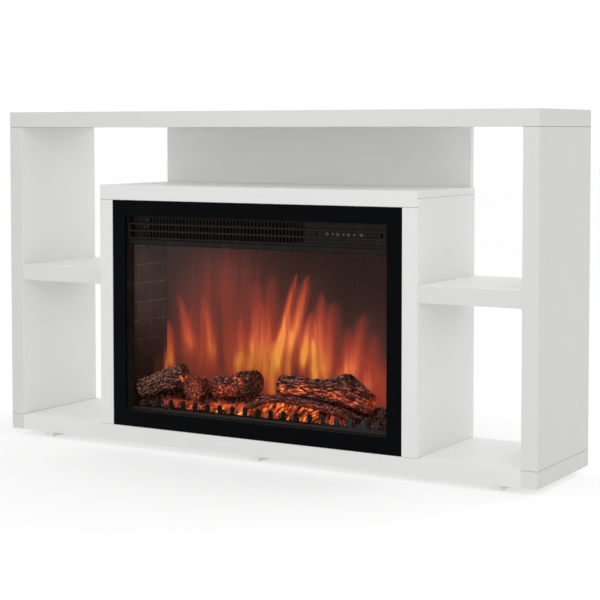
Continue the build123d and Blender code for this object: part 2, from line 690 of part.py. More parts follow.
STRIP_HALF = 320
LED_COUNT = 12
LED_PITCH = 52
LED_SIZE = 5
LED_THICK = 1.4
STRIP_THICK = 1.6
STRIPS = ((64, 85, 56), (178, 208, 70))  # depth limits and underside of each strip
with BuildPart() as led_strips:
    for d0, d1, z in STRIPS:
        with BuildSketch(Plane.XY.offset(z)):
            with Locations((0, at(middle((d0, d1))))):
                Rectangle(2 * STRIP_HALF, d1 - d0)
        extrude(amount=STRIP_THICK)
        with BuildSketch(Plane.XY.offset(z + STRIP_THICK)):
            with Locations(
                *[((i - (LED_COUNT - 1) / 2) * LED_PITCH, at(middle((d0, d1)))) for i in range(LED_COUNT)]
            ):
                Rectangle(LED_SIZE, LED_SIZE)
        extrude(amount=LED_THICK)
save(led_strips.part, "led_strips")

# ---- Fan heater above the firebox ----
FAN_DEPTH = 108
FAN_Z = 540
FAN_R = 30
FAN_X = (-288, 38)
BLADE_COUNT = 20
BLADE_THICK = 1
BLADE_CHORD = 11
BLADE_ANGLE = 35
FAN_DISCS = 4
FAN_DISC_THICK = 2
FAN_SHAFT_X = (-303, 96)
FAN_SHAFT_R = 3
FAN_BORE_R = 3.05
with BuildPart() as fan_impeller:
    with BuildSketch(across(FAN_X[0])):
        for i in range(BLADE_COUNT):
            angle = 2 * pi * i / BLADE_COUNT
            radius = FAN_R - BLADE_CHORD / 2
            place = (at(FAN_DEPTH) + radius * cos(angle), FAN_Z + radius * sin(angle))
            with Locations(Location((*place, 0), (0, 0, 360 * i / BLADE_COUNT + BLADE_ANGLE))):
                Rectangle(BLADE_CHORD, BLADE_THICK)
    extrude(amount=span(FAN_X))
    for i in range(FAN_DISCS):
        with BuildSketch(across(FAN_X[0] + i * (span(FAN_X) - FAN_DISC_THICK) / (FAN_DISCS - 1))):
            with Locations((at(FAN_DEPTH), FAN_Z)):
                Circle(FAN_R)
        extrude(amount=FAN_DISC_THICK)
    with BuildSketch(across(FAN_SHAFT_X[0])):
        with Locations((at(FAN_DEPTH), FAN_Z)):
            Circle(FAN_SHAFT_R)
    extrude(amount=span(FAN_SHAFT_X))
save(fan_impeller.part, "fan_impeller")

SCROLL_X = (-298, 46)
SCROLL_PLATE = 1.5
DUCT_FRONT = 26
with BuildPart() as fan_scroll:
    with BuildSketch(across(SCROLL_X[0])):
        with BuildLine():
            Line((at(DUCT_FRONT), 553), (at(FAN_DEPTH), 577))
            ThreePointArc((at(FAN_DEPTH), 577), (at(FAN_DEPTH + 37), FAN_Z), (at(FAN_DEPTH), 503))
            Line((at(FAN_DEPTH), 503), (at(DUCT_FRONT), 498))
        trace(line_width=SHEET)
    extrude(amount=span(SCROLL_X))
    with BuildSketch(across(FAN_X[0] + 10)):
        with Locations((at(FAN_DEPTH + 37), FAN_Z + 8)):
            Rectangle(30, 34)
    extrude(amount=span(FAN_X) - 20, mode=Mode.SUBTRACT)
    for x in (SCROLL_X[0] - SCROLL_PLATE, SCROLL_X[1]):
        with BuildSketch(across(x)):
            with BuildLine():
                Polyline(
                    (at(DUCT_FRONT), 497.5),
                    (at(DUCT_FRONT), 555),
                    (at(FAN_DEPTH), 580),
                    (at(FAN_DEPTH + 42), 580),
                    (at(FAN_DEPTH + 42), 497.5),
                    close=True,
                )
            make_face()
            with Locations((at(FAN_DEPTH), FAN_Z)):
                Circle(FAN_BORE_R, mode=Mode.SUBTRACT)
        extrude(amount=SCROLL_PLATE)
save(fan_scroll.part, "fan_scroll")

FAN_MOTOR_X = (SCROLL_X[1] + SCROLL_PLATE, 92)
FAN_MOTOR_FRAME = 58
FAN_MOTOR_FRAME_CORNER = 6
FAN_MOTOR_FRAME_THICK = 12
FAN_MOTOR_CAN_R = 24
with BuildPart() as fan_motor:
    with BuildSketch(across(FAN_MOTOR_X[0])):
        with Locations((at(FAN_DEPTH), FAN_Z)):
            RectangleRounded(FAN_MOTOR_FRAME, FAN_MOTOR_FRAME, FAN_MOTOR_FRAME_CORNER)
            Circle(FAN_BORE_R, mode=Mode.SUBTRACT)
    extrude(amount=FAN_MOTOR_FRAME_THICK)
    with BuildSketch(across(FAN_MOTOR_X[0] + FAN_MOTOR_FRAME_THICK)):
        with Locations((at(FAN_DEPTH), FAN_Z)):
            Circle(FAN_MOTOR_CAN_R)
            Circle(FAN_BORE_R, mode=Mode.SUBTRACT)
    extrude(amount=span(FAN_MOTOR_X) - FAN_MOTOR_FRAME_THICK)
save(fan_motor.part, "fan_motor")

HEATER_DEPTHS = (42, 58)
HEATER_BARS_Z = (508, 520, 532, 544)
HEATER_BAR = 4
FIN_COUNT = 20
with BuildPart() as heating_element:
    heater_x = (FAN_X[0] + 2, FAN_X[1] - 2)
    for z in HEATER_BARS_Z:
        with BuildSketch(facing(HEATER_DEPTHS[0])):
            with Locations((middle(heater_x), z)):
                Rectangle(span(heater_x), HEATER_BAR)
        extrude(amount=-span(HEATER_DEPTHS))
    fins_z = (HEATER_BARS_Z[0] - 2, HEATER_BARS_Z[-1] + 2)
    for i in range(FIN_COUNT):
        with BuildSketch(facing(HEATER_DEPTHS[0] + 2)):
            with Locations((heater_x[0] + 4 + i * (span(heater_x) - 8) / (FIN_COUNT - 1), middle(fins_z))):
                Rectangle(1, span(fins_z))
        extrude(amount=-(span(HEATER_DEPTHS) - 4))
save(heating_element.part, "heating_element")

# ---- Steel housing ----
BACK_FLANGE = 12
COVER_SCREW_R = 1.8
COVER_HOLE_R = 2
COVER_SCREWS = [(sign * (HOUSING_HALF - 6.5), z) for sign in (-1, 1) for z in (70, 200, 330, 460, 572)]
COVER_SCREWS += [(x, 59.5) for x in (-180, 0, 180)]
with BuildPart() as housing_shell:
    with BuildSketch(facing(FASCIA_BACK)):
        with Locations((0, middle((BOTTOM_TOP, HOUSING_TOP)))):
            Rectangle(2 * HOUSING_HALF, HOUSING_TOP - BOTTOM_TOP)
        with Locations((0, middle((BOTTOM_TOP + SHEET, HOUSING_TOP + SHEET)))):
            Rectangle(2 * (HOUSING_HALF - SHEET), HOUSING_TOP - BOTTOM_TOP, mode=Mode.SUBTRACT)
    extrude(amount=-(HOUSING_BACK - FASCIA_BACK))
    with BuildSketch(facing(HOUSING_BACK)):
        with Locations((0, middle((BOTTOM_TOP, HOUSING_TOP)))):
            Rectangle(2 * HOUSING_HALF, HOUSING_TOP - BOTTOM_TOP)
        with Locations((0, middle((BOTTOM_TOP + BACK_FLANGE, HOUSING_TOP + BACK_FLANGE)))):
            Rectangle(2 * (HOUSING_HALF - BACK_FLANGE), HOUSING_TOP - BOTTOM_TOP, mode=Mode.SUBTRACT)
        with Locations(*COVER_SCREWS):
            Circle(COVER_HOLE_R, mode=Mode.SUBTRACT)
    extrude(amount=SHEET)
save(housing_shell.part, "housing_shell")

with BuildPart() as top_cover:
    cover_depths = (FASCIA_BACK, HOUSING_BACK)
    with BuildSketch(Plane.XY.offset(HOUSING_TOP)):
        with Locations((0, at(middle(cover_depths)))):
            Rectangle(2 * HOUSING_HALF, span(cover_depths))
    extrude(amount=SHEET)
save(top_cover.part, "top_cover")

GLAND_X = 320
GLAND_Z = 215
GLAND_HOLE_R = 7.1
GLAND_BODY_R = 7
GLAND_BORE_R = 3.6
VENT_ROWS = (515, 529, 543, 557)
VENT_LENGTH = 40
VENT_HEIGHT = 5
VENT_PITCH = 54
VENT_COUNT = 6
VENT_FIRST_X = FAN_X[0] + 28
LOW_VENT_Z = 92
LOW_VENT_COUNT = 5
LOW_VENT_PITCH = 110
with BuildPart() as back_cover:
    cover_z = (BOTTOM_TOP, HOUSING_TOP + SHEET)
    with BuildSketch(facing(HOUSING_BACK)):
        with Locations((0, middle(cover_z))):
            Rectangle(2 * HOUSING_HALF, span(cover_z))
        with Locations((GLAND_X, GLAND_Z)):
            Circle(GLAND_HOLE_R, mode=Mode.SUBTRACT)
        with Locations(*COVER_SCREWS):
            Circle(COVER_HOLE_R, mode=Mode.SUBTRACT)
        with Locations(*[(VENT_FIRST_X + i * VENT_PITCH, z) for i in range(VENT_COUNT) for z in VENT_ROWS]):
            SlotOverall(VENT_LENGTH, VENT_HEIGHT, mode=Mode.SUBTRACT)
        low_first_x = -LOW_VENT_PITCH * (LOW_VENT_COUNT - 1) / 2
        with Locations(*[(low_first_x + i * LOW_VENT_PITCH, LOW_VENT_Z) for i in range(LOW_VENT_COUNT)]):
            SlotOverall(VENT_LENGTH, VENT_HEIGHT, mode=Mode.SUBTRACT)
    extrude(amount=-SHEET)
save(back_cover.part, "back_cover")

COVER_BACK = HOUSING_BACK + SHEET
COVER_SCREW_TAIL = 4
COVER_SCREW_HEAD_R = 3.6
COVER_SCREW_HEAD_THICK = 2.2
COVER_SCREW_SLOT = (3.2, 0.7)
COVER_SCREW_SLOT_DEPTH = 1.2
with BuildPart() as cover_screws:
    with BuildSketch(facing(HOUSING_BACK - SHEET - COVER_SCREW_TAIL)):
        with Locations(*COVER_SCREWS):
            Circle(COVER_SCREW_R)
    extrude(amount=-(2 * SHEET + COVER_SCREW_TAIL))
    with BuildSketch(facing(COVER_BACK)):
        with Locations(*COVER_SCREWS):
            Circle(COVER_SCREW_HEAD_R)
    extrude(amount=-COVER_SCREW_HEAD_THICK, taper=18)
    with BuildSketch(facing(COVER_BACK + COVER_SCREW_HEAD_THICK)):
        with Locations(*COVER_SCREWS):
            Rectangle(*COVER_SCREW_SLOT)
            Rectangle(*COVER_SCREW_SLOT[::-1])
    extrude(amount=COVER_SCREW_SLOT_DEPTH, mode=Mode.SUBTRACT)
save(cover_screws.part, "cover_screws")

# Half section of the gland, as (distance along its axis from the back cover, radius).
GLAND_SECTION = (
    (-5.5, GLAND_BORE_R),
    (-5.5, 9.5),
    (-SHEET - 0.2, 9.5),
    (-SHEET - 0.2, GLAND_BODY_R),
    (0, GLAND_BODY_R),
    (0, 10),
    (3, 10),
    (3, 8),
    (9, 7.2),
    (11, 5.2),
    (11, GLAND_BORE_R),
)
with BuildPart() as cord_gland:
    with BuildSketch(Plane(origin=(GLAND_X, at(COVER_BACK), GLAND_Z), x_dir=(0, 1, 0), z_dir=(1, 0, 0))):
        with BuildLine():
            Polyline(*GLAND_SECTION, close=True)
        make_face()
    revolve(axis=Axis((GLAND_X, at(COVER_BACK), GLAND_Z), (0, 1, 0)))
save(cord_gland.part, "cord_gland")

BLOCK_DEPTHS = (196, HOUSING_BACK - 0.5)
BLOCK_Z = (168, 188)
BLOCK_WIDTH = 36
BLOCK_WAYS = (3, 2)
BLOCK_WAY_PITCH = (11, 10)
BLOCK_WAY_R = 2.4
BLOCK_WAY_DEPTH = 5
with BuildPart() as terminal_block:
    with BuildSketch(facing(BLOCK_DEPTHS[0])):
        with Locations((CABLE_X, middle(BLOCK_Z))):
            Rectangle(BLOCK_WIDTH, span(BLOCK_Z))
    extrude(amount=-span(BLOCK_DEPTHS))
    with BuildSketch(facing(BLOCK_DEPTHS[0])):
        with Locations((CABLE_X, middle(BLOCK_Z))):
            with GridLocations(*BLOCK_WAY_PITCH, *BLOCK_WAYS):
                Circle(BLOCK_WAY_R)
    extrude(amount=-BLOCK_WAY_DEPTH, mode=Mode.SUBTRACT)
save(terminal_block.part, "terminal_block")

BOARD_DEPTHS = (26, 27.6)
BOARD_MIDDLE = (220, 526)
BOARD_SIZE = (140, 46)
TACT_SWITCH_SIZE = 6
TACT_SWITCH_FRONT = BUTTON_STEM_BACK + BUTTON_TRAVEL + 0.3
RELAY_PLACES = ((165, 536), (190, 536))
RELAY_SIZE = (18, 14)
CONNECTOR_PLACE = (235, 514)
CONNECTOR_SIZE = (60, 12)
COMPONENT_HEIGHT = 12
with BuildPart() as control_board:
    with BuildSketch(facing(BOARD_DEPTHS[0])):
        with Locations(BOARD_MIDDLE):
            Rectangle(*BOARD_SIZE)
    extrude(amount=-span(BOARD_DEPTHS))
    with BuildSketch(facing(TACT_SWITCH_FRONT)):
        with Locations(*[(x, CONTROL_Z) for _, x in BUTTONS]):
            Rectangle(TACT_SWITCH_SIZE, TACT_SWITCH_SIZE)
    extrude(amount=-(BOARD_DEPTHS[0] - TACT_SWITCH_FRONT))
    with BuildSketch(facing(BOARD_DEPTHS[1])):
        with Locations(*RELAY_PLACES):
            Rectangle(*RELAY_SIZE)
        with Locations(CONNECTOR_PLACE):
            Rectangle(*CONNECTOR_SIZE)
    extrude(amount=-COMPONENT_HEIGHT)
save(control_board.part, "control_board")

CABLE_PATH = (
    (CABLE_X, at(CABLE_DEPTH), BLOCK_Z[1]),
    (CABLE_X, at(CABLE_DEPTH), 545),
    (270, at(110), 545),
    (270, at(BOARD_DEPTHS[1]), 545),
)
with BuildPart() as internal_cable:
    with BuildLine() as cable_line:
        FilletPolyline(*CABLE_PATH, radius=24)
    with BuildSketch(cable_line.line ^ 0):
        Circle(CABLE_R)
    sweep()
save(internal_cable.part, "internal_cable")

BRACKET_DEPTHS = (182, 206)
BRACKET_Z = (300, 340)
BRACKET_THICK = 2
BRACKET_LEG = 24
with BuildPart() as mounting_brackets:
    for sign in (-1, 1):
        inner, outer = sign * HOUSING_HALF, sign * DIVIDER_INNER
        with BuildSketch(Plane.XY.offset(BRACKET_Z[0])):
            with BuildLine():
                Polyline(
                    (inner, at(BRACKET_DEPTHS[0])),
                    (inner, at(BRACKET_DEPTHS[1])),
                    (outer - sign * BRACKET_THICK, at(BRACKET_DEPTHS[1])),
                    (outer - sign * BRACKET_THICK, at(BRACKET_DEPTHS[1] + BRACKET_LEG)),
                    (outer, at(BRACKET_DEPTHS[1] + BRACKET_LEG)),
                    (outer, at(BRACKET_DEPTHS[1] - BRACKET_THICK)),
                    (inner + sign * BRACKET_THICK, at(BRACKET_DEPTHS[1] - BRACKET_THICK)),
                    (inner + sign * BRACKET_THICK, at(BRACKET_DEPTHS[0])),
                    close=True,
                )
            make_face()
        extrude(amount=span(BRACKET_Z))
save(mounting_brackets.part, "mounting_brackets")
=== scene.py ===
"""The looks of the electric fireplace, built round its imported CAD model.

The white console and the heater's housing are the CAD pieces with finished materials. The logs, the ember
bed and the branch are modelled here in place of their plain CAD solids. The scene is in metres, in the CAD
frame: +X right, -Y front, +Z up, with the origin on the floor under the middle of the console. The tables
of flames, glows and logs are in millimetres.
"""

from math import cos, pi, radians, sin, sqrt

import bmesh
import bpy
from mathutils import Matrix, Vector, noise


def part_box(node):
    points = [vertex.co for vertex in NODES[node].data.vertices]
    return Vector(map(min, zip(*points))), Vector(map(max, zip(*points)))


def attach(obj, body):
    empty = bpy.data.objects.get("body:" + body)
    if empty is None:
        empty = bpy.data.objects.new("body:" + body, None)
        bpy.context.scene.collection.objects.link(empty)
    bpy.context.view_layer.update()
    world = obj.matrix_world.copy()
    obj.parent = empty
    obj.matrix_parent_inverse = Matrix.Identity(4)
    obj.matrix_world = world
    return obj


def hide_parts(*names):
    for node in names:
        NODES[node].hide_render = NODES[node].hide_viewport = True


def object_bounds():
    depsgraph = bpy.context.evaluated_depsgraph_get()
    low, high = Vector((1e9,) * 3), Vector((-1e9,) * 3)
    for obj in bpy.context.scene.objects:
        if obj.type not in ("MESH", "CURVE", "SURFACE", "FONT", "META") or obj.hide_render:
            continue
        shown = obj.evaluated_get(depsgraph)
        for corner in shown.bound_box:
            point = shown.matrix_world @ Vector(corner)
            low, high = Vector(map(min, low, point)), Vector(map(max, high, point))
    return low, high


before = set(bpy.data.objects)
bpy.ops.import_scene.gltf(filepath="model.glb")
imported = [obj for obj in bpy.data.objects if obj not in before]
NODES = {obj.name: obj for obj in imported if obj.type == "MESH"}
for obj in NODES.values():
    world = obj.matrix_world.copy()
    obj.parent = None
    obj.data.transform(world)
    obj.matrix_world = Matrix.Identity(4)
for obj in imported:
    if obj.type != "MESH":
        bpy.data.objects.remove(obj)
CAD_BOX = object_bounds()
MM = 0.001
EULER = 2.718

FRONT_Y = CAD_BOX[0].y
BED_LOW, BED_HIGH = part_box("ember_bed")
SHELF_LOW, SHELF_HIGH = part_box("right_shelf")
STILE_LOW, STILE_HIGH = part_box("right_stile")
TOP_BOARD_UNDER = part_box("top_board")[0].z
BOTTOM_BOARD_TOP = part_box("bottom_board")[1].z
MANTEL_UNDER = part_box("mantel_board")[0].z


def srgb(red, green, blue):
    """A colour given as it looks on a screen, 0 to 255, turned into Blender's linear values."""
    linear = []
    for value in (red, green, blue):
        v = value / 255
        linear.append(v / 12.92 if v <= 0.04045 else ((v + 0.055) / 1.055) ** 2.4)
    return (*linear, 1.0)


# ---- Node graphs ----


class Graph:
    """A node tree and short calls for the nodes that the materials here use."""

    def __init__(self, tree):
        self.tree = tree

    def add(self, kind, inputs=None, **settings):
        node = self.tree.nodes.new("ShaderNode" + kind)
        for name, value in settings.items():
            setattr(node, name, value)
        for name, value in (inputs or {}).items():
            self.feed(node.inputs[name], value)
        return node

    def feed(self, socket, value):
        if isinstance(value, bpy.types.NodeSocket):
            self.tree.links.new(value, socket)
        else:
            socket.default_value = value

    def place(self):
        """Where a point is in the CAD frame, at rest."""
        return self.add("TexCoord").outputs["Object"]

    def stretch(self, scale, vector=None):
        inputs = {"Vector": vector or self.place(), "Scale": scale}
        return self.add("Mapping", inputs).outputs["Vector"]

    def noise(self, scale, detail=3.0, rough=0.5, vector=None, distortion=0.0):
        inputs = {
            "Vector": vector or self.place(),
            "Scale": scale,
            "Detail": detail,
            "Roughness": rough,
            "Distortion": distortion,
        }
        return self.add("TexNoise", inputs).outputs["Fac"]

    def bent(self, scale, amount):
        """The place, pushed about by up to half the amount, so that nothing drawn on it is straight."""
        push = self.add("TexNoise", {"Vector": self.place(), "Scale": scale, "Detail": 2.0})
        centred = self.vector_math("SUBTRACT", {0: push.outputs["Color"], 1: (0.5, 0.5, 0.5)})
        scaled = self.vector_math("SCALE", {0: centred, "Scale": amount})
        return self.vector_math("ADD", {0: self.place(), 1: scaled})

    def vector_math(self, operation, inputs):
        return self.add("VectorMath", inputs, operation=operation).outputs["Vector"]

    def cells(self, scale, feature="F1", vector=None, randomness=1.0):
        inputs = {"Vector": vector or self.place(), "Scale": scale, "Randomness": randomness}
        return self.add("TexVoronoi", inputs, feature=feature).outputs["Distance"]

    def ramp(self, value, stops):
        """A colour or grey that follows value through (position, colour) stops."""
        node = self.add("ValToRGB", {"Fac": value})
        elements = node.color_ramp.elements
        while len(elements) < len(stops):
            elements.new(1.0)
        for element, (position, colour) in zip(elements, stops):
            element.position = position
            element.color = colour if isinstance(colour, tuple) else (colour, colour, colour, 1)
        return node.outputs["Color"]

    def math(self, operation, a, b=0.0, clamp=False):
        node = self.add("Math", operation=operation, use_clamp=clamp)
        self.feed(node.inputs[0], a)
        self.feed(node.inputs[1], b)
        return node.outputs["Value"]

    def spread(self, value, low, high, to_low=0.0, to_high=1.0, smooth=False):
        """Value carried from one range to another, held at its ends."""
        inputs = {
            "Value": value,
            "From Min": low,
            "From Max": high,
            "To Min": to_low,
            "To Max": to_high,
        }
        kind = "SMOOTHSTEP" if smooth else "LINEAR"
        return self.add("MapRange", inputs, interpolation_type=kind).outputs["Result"]

    def product(self, first, *others):
        for other in others:
            first = self.math("MULTIPLY", first, other)
        return first

    def distance(self, value, centre):
        """How far value is from centre, either way."""
        return self.math("ABSOLUTE", self.math("SUBTRACT", value, centre))

    def within(self, value, low, high):
        """1 between low and high, and 0 elsewhere."""
        return self.product(self.math("GREATER_THAN", value, low), self.math("LESS_THAN", value, high))

    def bell(self, across, up):
        """1 where both offsets are 0, falling off evenly all round."""
        squares = self.math("ADD", self.product(across, across), self.product(up, up))
        return self.math("POWER", EULER, self.product(squares, -1.0))

    def mix(self, factor, a, b):
        """A colour between a and b. The node's colour sockets are inputs 6 and 7 and output 2."""
        node = self.add("Mix", data_type="RGBA")
        self.feed(node.inputs["Factor"], factor)
        self.feed(node.inputs[6], a)
        self.feed(node.inputs[7], b)
        return node.outputs[2]

    def bump(self, height, strength, distance, normal=None):
        inputs = {"Height": height, "Strength": strength, "Distance": distance}
        if normal:
            inputs["Normal"] = normal
        return self.add("Bump", inputs).outputs["Normal"]

    def axes(self, vector=None):
        return self.add("SeparateXYZ", {"Vector": vector or self.place()}).outputs

    def attribute(self, name):
        return self.add("Attribute", attribute_name=name).outputs["Fac"]


def new_material(name, **constants):
    """A material with one Principled shader. Constants are its inputs by name, with _ for a space."""
    material = bpy.data.materials.new(name)
    material.use_nodes = True
    tree = material.node_tree
    shader = tree.nodes["Principled BSDF"]
    for key, value in constants.items():
        shader.inputs[key.replace("_", " ")].default_value = value
    return material, Graph(tree), shader.inputs


# ---- Materials of the console and the housing ----


# Painted shadow in the level joints between boards: Z, the range of distances to the left or right of the
# middle, whether the joint shows on the front only, and how dark the painted shadow looks.
BOARD_JOINTS = [
    (TOP_BOARD_UNDER, SHELF_HIGH.x, CAD_BOX[1].x, False, 0.75),  # top board on the sides
    (BOTTOM_BOARD_TOP, SHELF_HIGH.x, CAD_BOX[1].x, False, 0.55),  # sides on the bottom board
    (BOTTOM_BOARD_TOP, STILE_LOW.x, STILE_HIGH.x, True, 0.4),  # stiles on the bottom board
    (STILE_HIGH.z, STILE_LOW.x, STILE_HIGH.x, True, 0.6),  # mantel rail on the stiles
    (MANTEL_UNDER, STILE_HIGH.x, STILE_HIGH.x, False, 0.6),  # mantel board on the dividers
]
# Painted shadow in the upright joints at the ends of the shelves: the distance from the middle, and how
# dark it looks.
SHELF_JOINTS = [(SHELF_LOW.x, 0.15), (SHELF_HIGH.x, 0.30)]
JOINT_HALF = 0.45 * MM
JOINT_EDGE = 0.1 * MM
JOINT_SHADE = srgb(60, 60, 60)
# How far past a board's own edge a rule about that board still holds.
MARGIN = 0.5 * MM


def joint_line(g, value, place, strength):
    """A dark hairline of painted shadow where value is at place."""
    return g.spread(g.distance(value, place), JOINT_HALF + JOINT_EDGE, JOINT_HALF, 0.0, strength)


def white_board():
    """Melamine board with painted shade and highlight: the front edge bands and the outer ends are painted
    a shade greyer than the faces, faces towards +X are painted darker and upward faces paler.
    """
    material, g, shader = new_material("white_melamine", Specular_IOR_Level=0.3)
    axes = g.axes()
    clouds = g.noise(5, 4, 0.55)
    tone = g.ramp(clouds, [(0.3, srgb(233, 234, 233)), (0.7, srgb(237, 237, 235))])
    off_middle = g.math("ABSOLUTE", axes["X"])
    front = g.spread(axes["Y"], FRONT_Y + 0.6 * MM, FRONT_Y + 0.2 * MM)
    ends = g.spread(off_middle, CAD_BOX[1].x - 0.6 * MM, CAD_BOX[1].x - 0.2 * MM)
    # Painted shade on the edge bands: the outer frame's edge bands are the greyest, then the shelves', and
    # the other inner ones are palest.
    inside_x = g.spread(off_middle, SHELF_HIGH.x + 1 * MM, SHELF_HIGH.x - 1 * MM)
    inside_z = g.spread(axes["Z"], TOP_BOARD_UNDER + 1 * MM, TOP_BOARD_UNDER - 1 * MM)
    inner = g.product(inside_x, inside_z)
    across = g.spread(axes["X"], CAD_BOX[0].x, CAD_BOX[1].x)
    outer_greys = [(0.0, srgb(207, 207, 206)), (0.5, srgb(214, 214, 213)), (1.0, srgb(211, 211, 210))]
    band = g.mix(inner, g.ramp(across, outer_greys), srgb(222, 222, 221))
    at_shelf = g.within(axes["Z"], SHELF_LOW.z - 1 * MM, SHELF_HIGH.z + 1 * MM)
    in_bay = g.math("GREATER_THAN", off_middle, STILE_HIGH.x + MARGIN)
    band = g.mix(g.product(at_shelf, in_bay, inner), band, srgb(213, 213, 212))
    # Painted shade and highlight: faces towards +X are darker and upward faces paler.
    facing = g.axes(g.add("NewGeometry").outputs["Normal"])
    tone = g.mix(g.spread(facing["X"], 0.5, 0.9), tone, srgb(229, 229, 227))
    tone = g.mix(g.spread(facing["Z"], 0.5, 0.9), tone, srgb(246, 246, 244))
    # Painted shade: the front edge bands and the outer ends are greyer than the faces.
    tone = g.mix(front, tone, band)
    tone = g.mix(ends, tone, srgb(199, 199, 198))
    specks = g.ramp(g.noise(420, 2), [(0.66, 0.0), (0.78, 0.06)])
    tone = g.mix(specks, tone, srgb(196, 194, 188))
    # Painted shadow in the board joints.
    for level, nearest, furthest, front_only, strength in BOARD_JOINTS:
        line = joint_line(g, axes["Z"], level, strength)
        line = g.product(line, g.within(off_middle, nearest - MARGIN, furthest + MARGIN))
        if front_only:
            line = g.product(line, g.math("LESS_THAN", axes["Y"], FRONT_Y + 5 * MM))
        tone = g.mix(line, tone, JOINT_SHADE)
    for end, strength in SHELF_JOINTS:
        line = g.product(joint_line(g, off_middle, end, strength), at_shelf, front)
        tone = g.mix(line, tone, JOINT_SHADE)
    g.feed(shader["Base Color"], tone)
    smears = g.noise(26, 6, 0.65, distortion=0.6)
    g.feed(shader["Roughness"], g.spread(smears, 0.3, 0.7, 0.36, 0.52))
    peel = g.noise(850, 2)
    waves = g.noise(30, 1)
    normal = g.bump(waves, 0.03, 0.002)
    g.feed(shader["Normal"], g.bump(peel, 0.08, 0.0002, normal))
    return material


def black_trim():
    material, g, shader = new_material("black_powder_coat", Specular_IOR_Level=0.04)
    grain = g.noise(1400, 2)
    dust = g.ramp(g.noise(60, 8, 0.7), [(0.55, 0.0), (0.8, 0.35)])
    g.feed(shader["Base Color"], g.mix(dust, srgb(2, 3, 5), srgb(8, 9, 11)))
    smears = g.noise(12, 5, 0.6, distortion=0.8)
    g.feed(shader["Roughness"], g.spread(smears, 0.3, 0.7, 0.28, 0.44))
    g.feed(shader["Normal"], g.bump(grain, 0.12, 0.0002))
    return material


def moulded_plastic(name, colour, worn_and_lit, rough):
    """Plastic with a fine spark-eroded texture, a little paler where it has been handled, and with a
    painted highlight on its upward faces.
    """
    material, g, shader = new_material(name, Specular_IOR_Level=0.12)
    handling = g.ramp(g.noise(45, 6, 0.7), [(0.5, 0.0), (0.75, 0.5)])
    # Painted highlight: faces that point up are paler.
    upward = g.axes(g.add("NewGeometry").outputs["Normal"])["Z"]
    pale_marks_and_highlight = g.math("MAXIMUM", handling, g.spread(upward, 0.5, 0.9))
    g.feed(shader["Base Color"], g.mix(pale_marks_and_highlight, colour, worn_and_lit))
    g.feed(shader["Roughness"], g.spread(g.noise(90, 4), 0.3, 0.7, rough - 0.06, rough + 0.08))
    g.feed(shader["Normal"], g.bump(g.noise(2600, 1), 0.25, 0.00012))
    return material


def sheet_steel(name, colour, pale, metallic):
    """Galvanised sheet: flat spangles, faint rolling lines and a few scuffs."""
    material, g, shader = new_material(name, Metallic=metallic)
    spangle = g.cells(120, vector=g.bent(90, 0.004))
    rolling = g.noise(1.0, 3, vector=g.stretch((14, 14, 900)))
    tone = g.spread(g.math("ADD", spangle, rolling), 0.4, 1.3)
    g.feed(shader["Base Color"], g.mix(tone, colour, pale))
    scuffs = g.noise(160, 8, 0.75, distortion=1.2)
    g.feed(shader["Roughness"], g.spread(scuffs, 0.35, 0.7, 0.34, 0.6))
    g.feed(shader["Normal"], g.bump(rolling, 0.06, 0.0002))
    return material


def plated_steel():
    material, g, shader = new_material("zinc_plate", Metallic=1.0)
    patches = g.noise(300, 5, 0.6)
    tone = g.ramp(patches, [(0.3, srgb(150, 150, 146)), (0.7, srgb(190, 190, 188))])
    g.feed(shader["Base Color"], tone)
    g.feed(shader["Roughness"], g.spread(patches, 0.3, 0.7, 0.25, 0.5))
    g.feed(shader["Normal"], g.bump(g.noise(1800, 2), 0.1, 0.0001))
    return material


def bright_foil():
    material, g, shader = new_material("bright_foil", Metallic=1.0)
    crinkle = g.noise(180, 4, 0.6, distortion=0.5)
    tone = g.ramp(crinkle, [(0.2, srgb(205, 206, 208)), (0.8, srgb(236, 236, 238))])
    g.feed(shader["Base Color"], tone)
    g.feed(shader["Roughness"], g.spread(crinkle, 0.3, 0.7, 0.08, 0.22))
    g.feed(shader["Normal"], g.bump(crinkle, 0.35, 0.0006))
    return material


def blackened_aluminium():
    material, g, shader = new_material("blackened_aluminium", Metallic=0.3, Specular_IOR_Level=0.2)
    lines = g.noise(1.0, 4, vector=g.stretch((40, 1500, 1500)))
    g.feed(shader["Base Color"], g.ramp(lines, [(0.3, srgb(14, 14, 14)), (0.7, srgb(34, 33, 32))]))
    g.feed(shader["Roughness"], g.spread(lines, 0.3, 0.7, 0.45, 0.65))
    g.feed(shader["Normal"], g.bump(lines, 0.1, 0.0001))
    return material


def circuit_board():
    material, g, shader = new_material("solder_mask", Specular_IOR_Level=0.5)
    tracks = g.cells(240, "DISTANCE_TO_EDGE", randomness=0.35)
    copper = g.ramp(tracks, [(0.05, 1.0), (0.09, 0.0)])
    g.feed(shader["Base Color"], g.mix(copper, srgb(10, 74, 38), srgb(34, 110, 62)))
    g.feed(shader["Roughness"], g.spread(g.noise(200), 0.3, 0.7, 0.25, 0.4))
    g.feed(shader["Normal"], g.bump(copper, 0.2, 0.0002))
    return material


def rubber_jacket():
    material, g, shader = new_material("cable_jacket", Specular_IOR_Level=0.3)
    scuffs = g.ramp(g.noise(120, 7, 0.7), [(0.5, 0.0), (0.8, 0.6)])
    g.feed(shader["Base Color"], g.mix(scuffs, srgb(20, 20, 21), srgb(58, 57, 56)))
    g.feed(shader["Roughness"], g.spread(scuffs, 0.0, 1.0, 0.5, 0.75))
    g.feed(shader["Normal"], g.bump(g.noise(900, 3), 0.2, 0.0002))
    return material


# ---- Materials of the heater's front and firebox ----


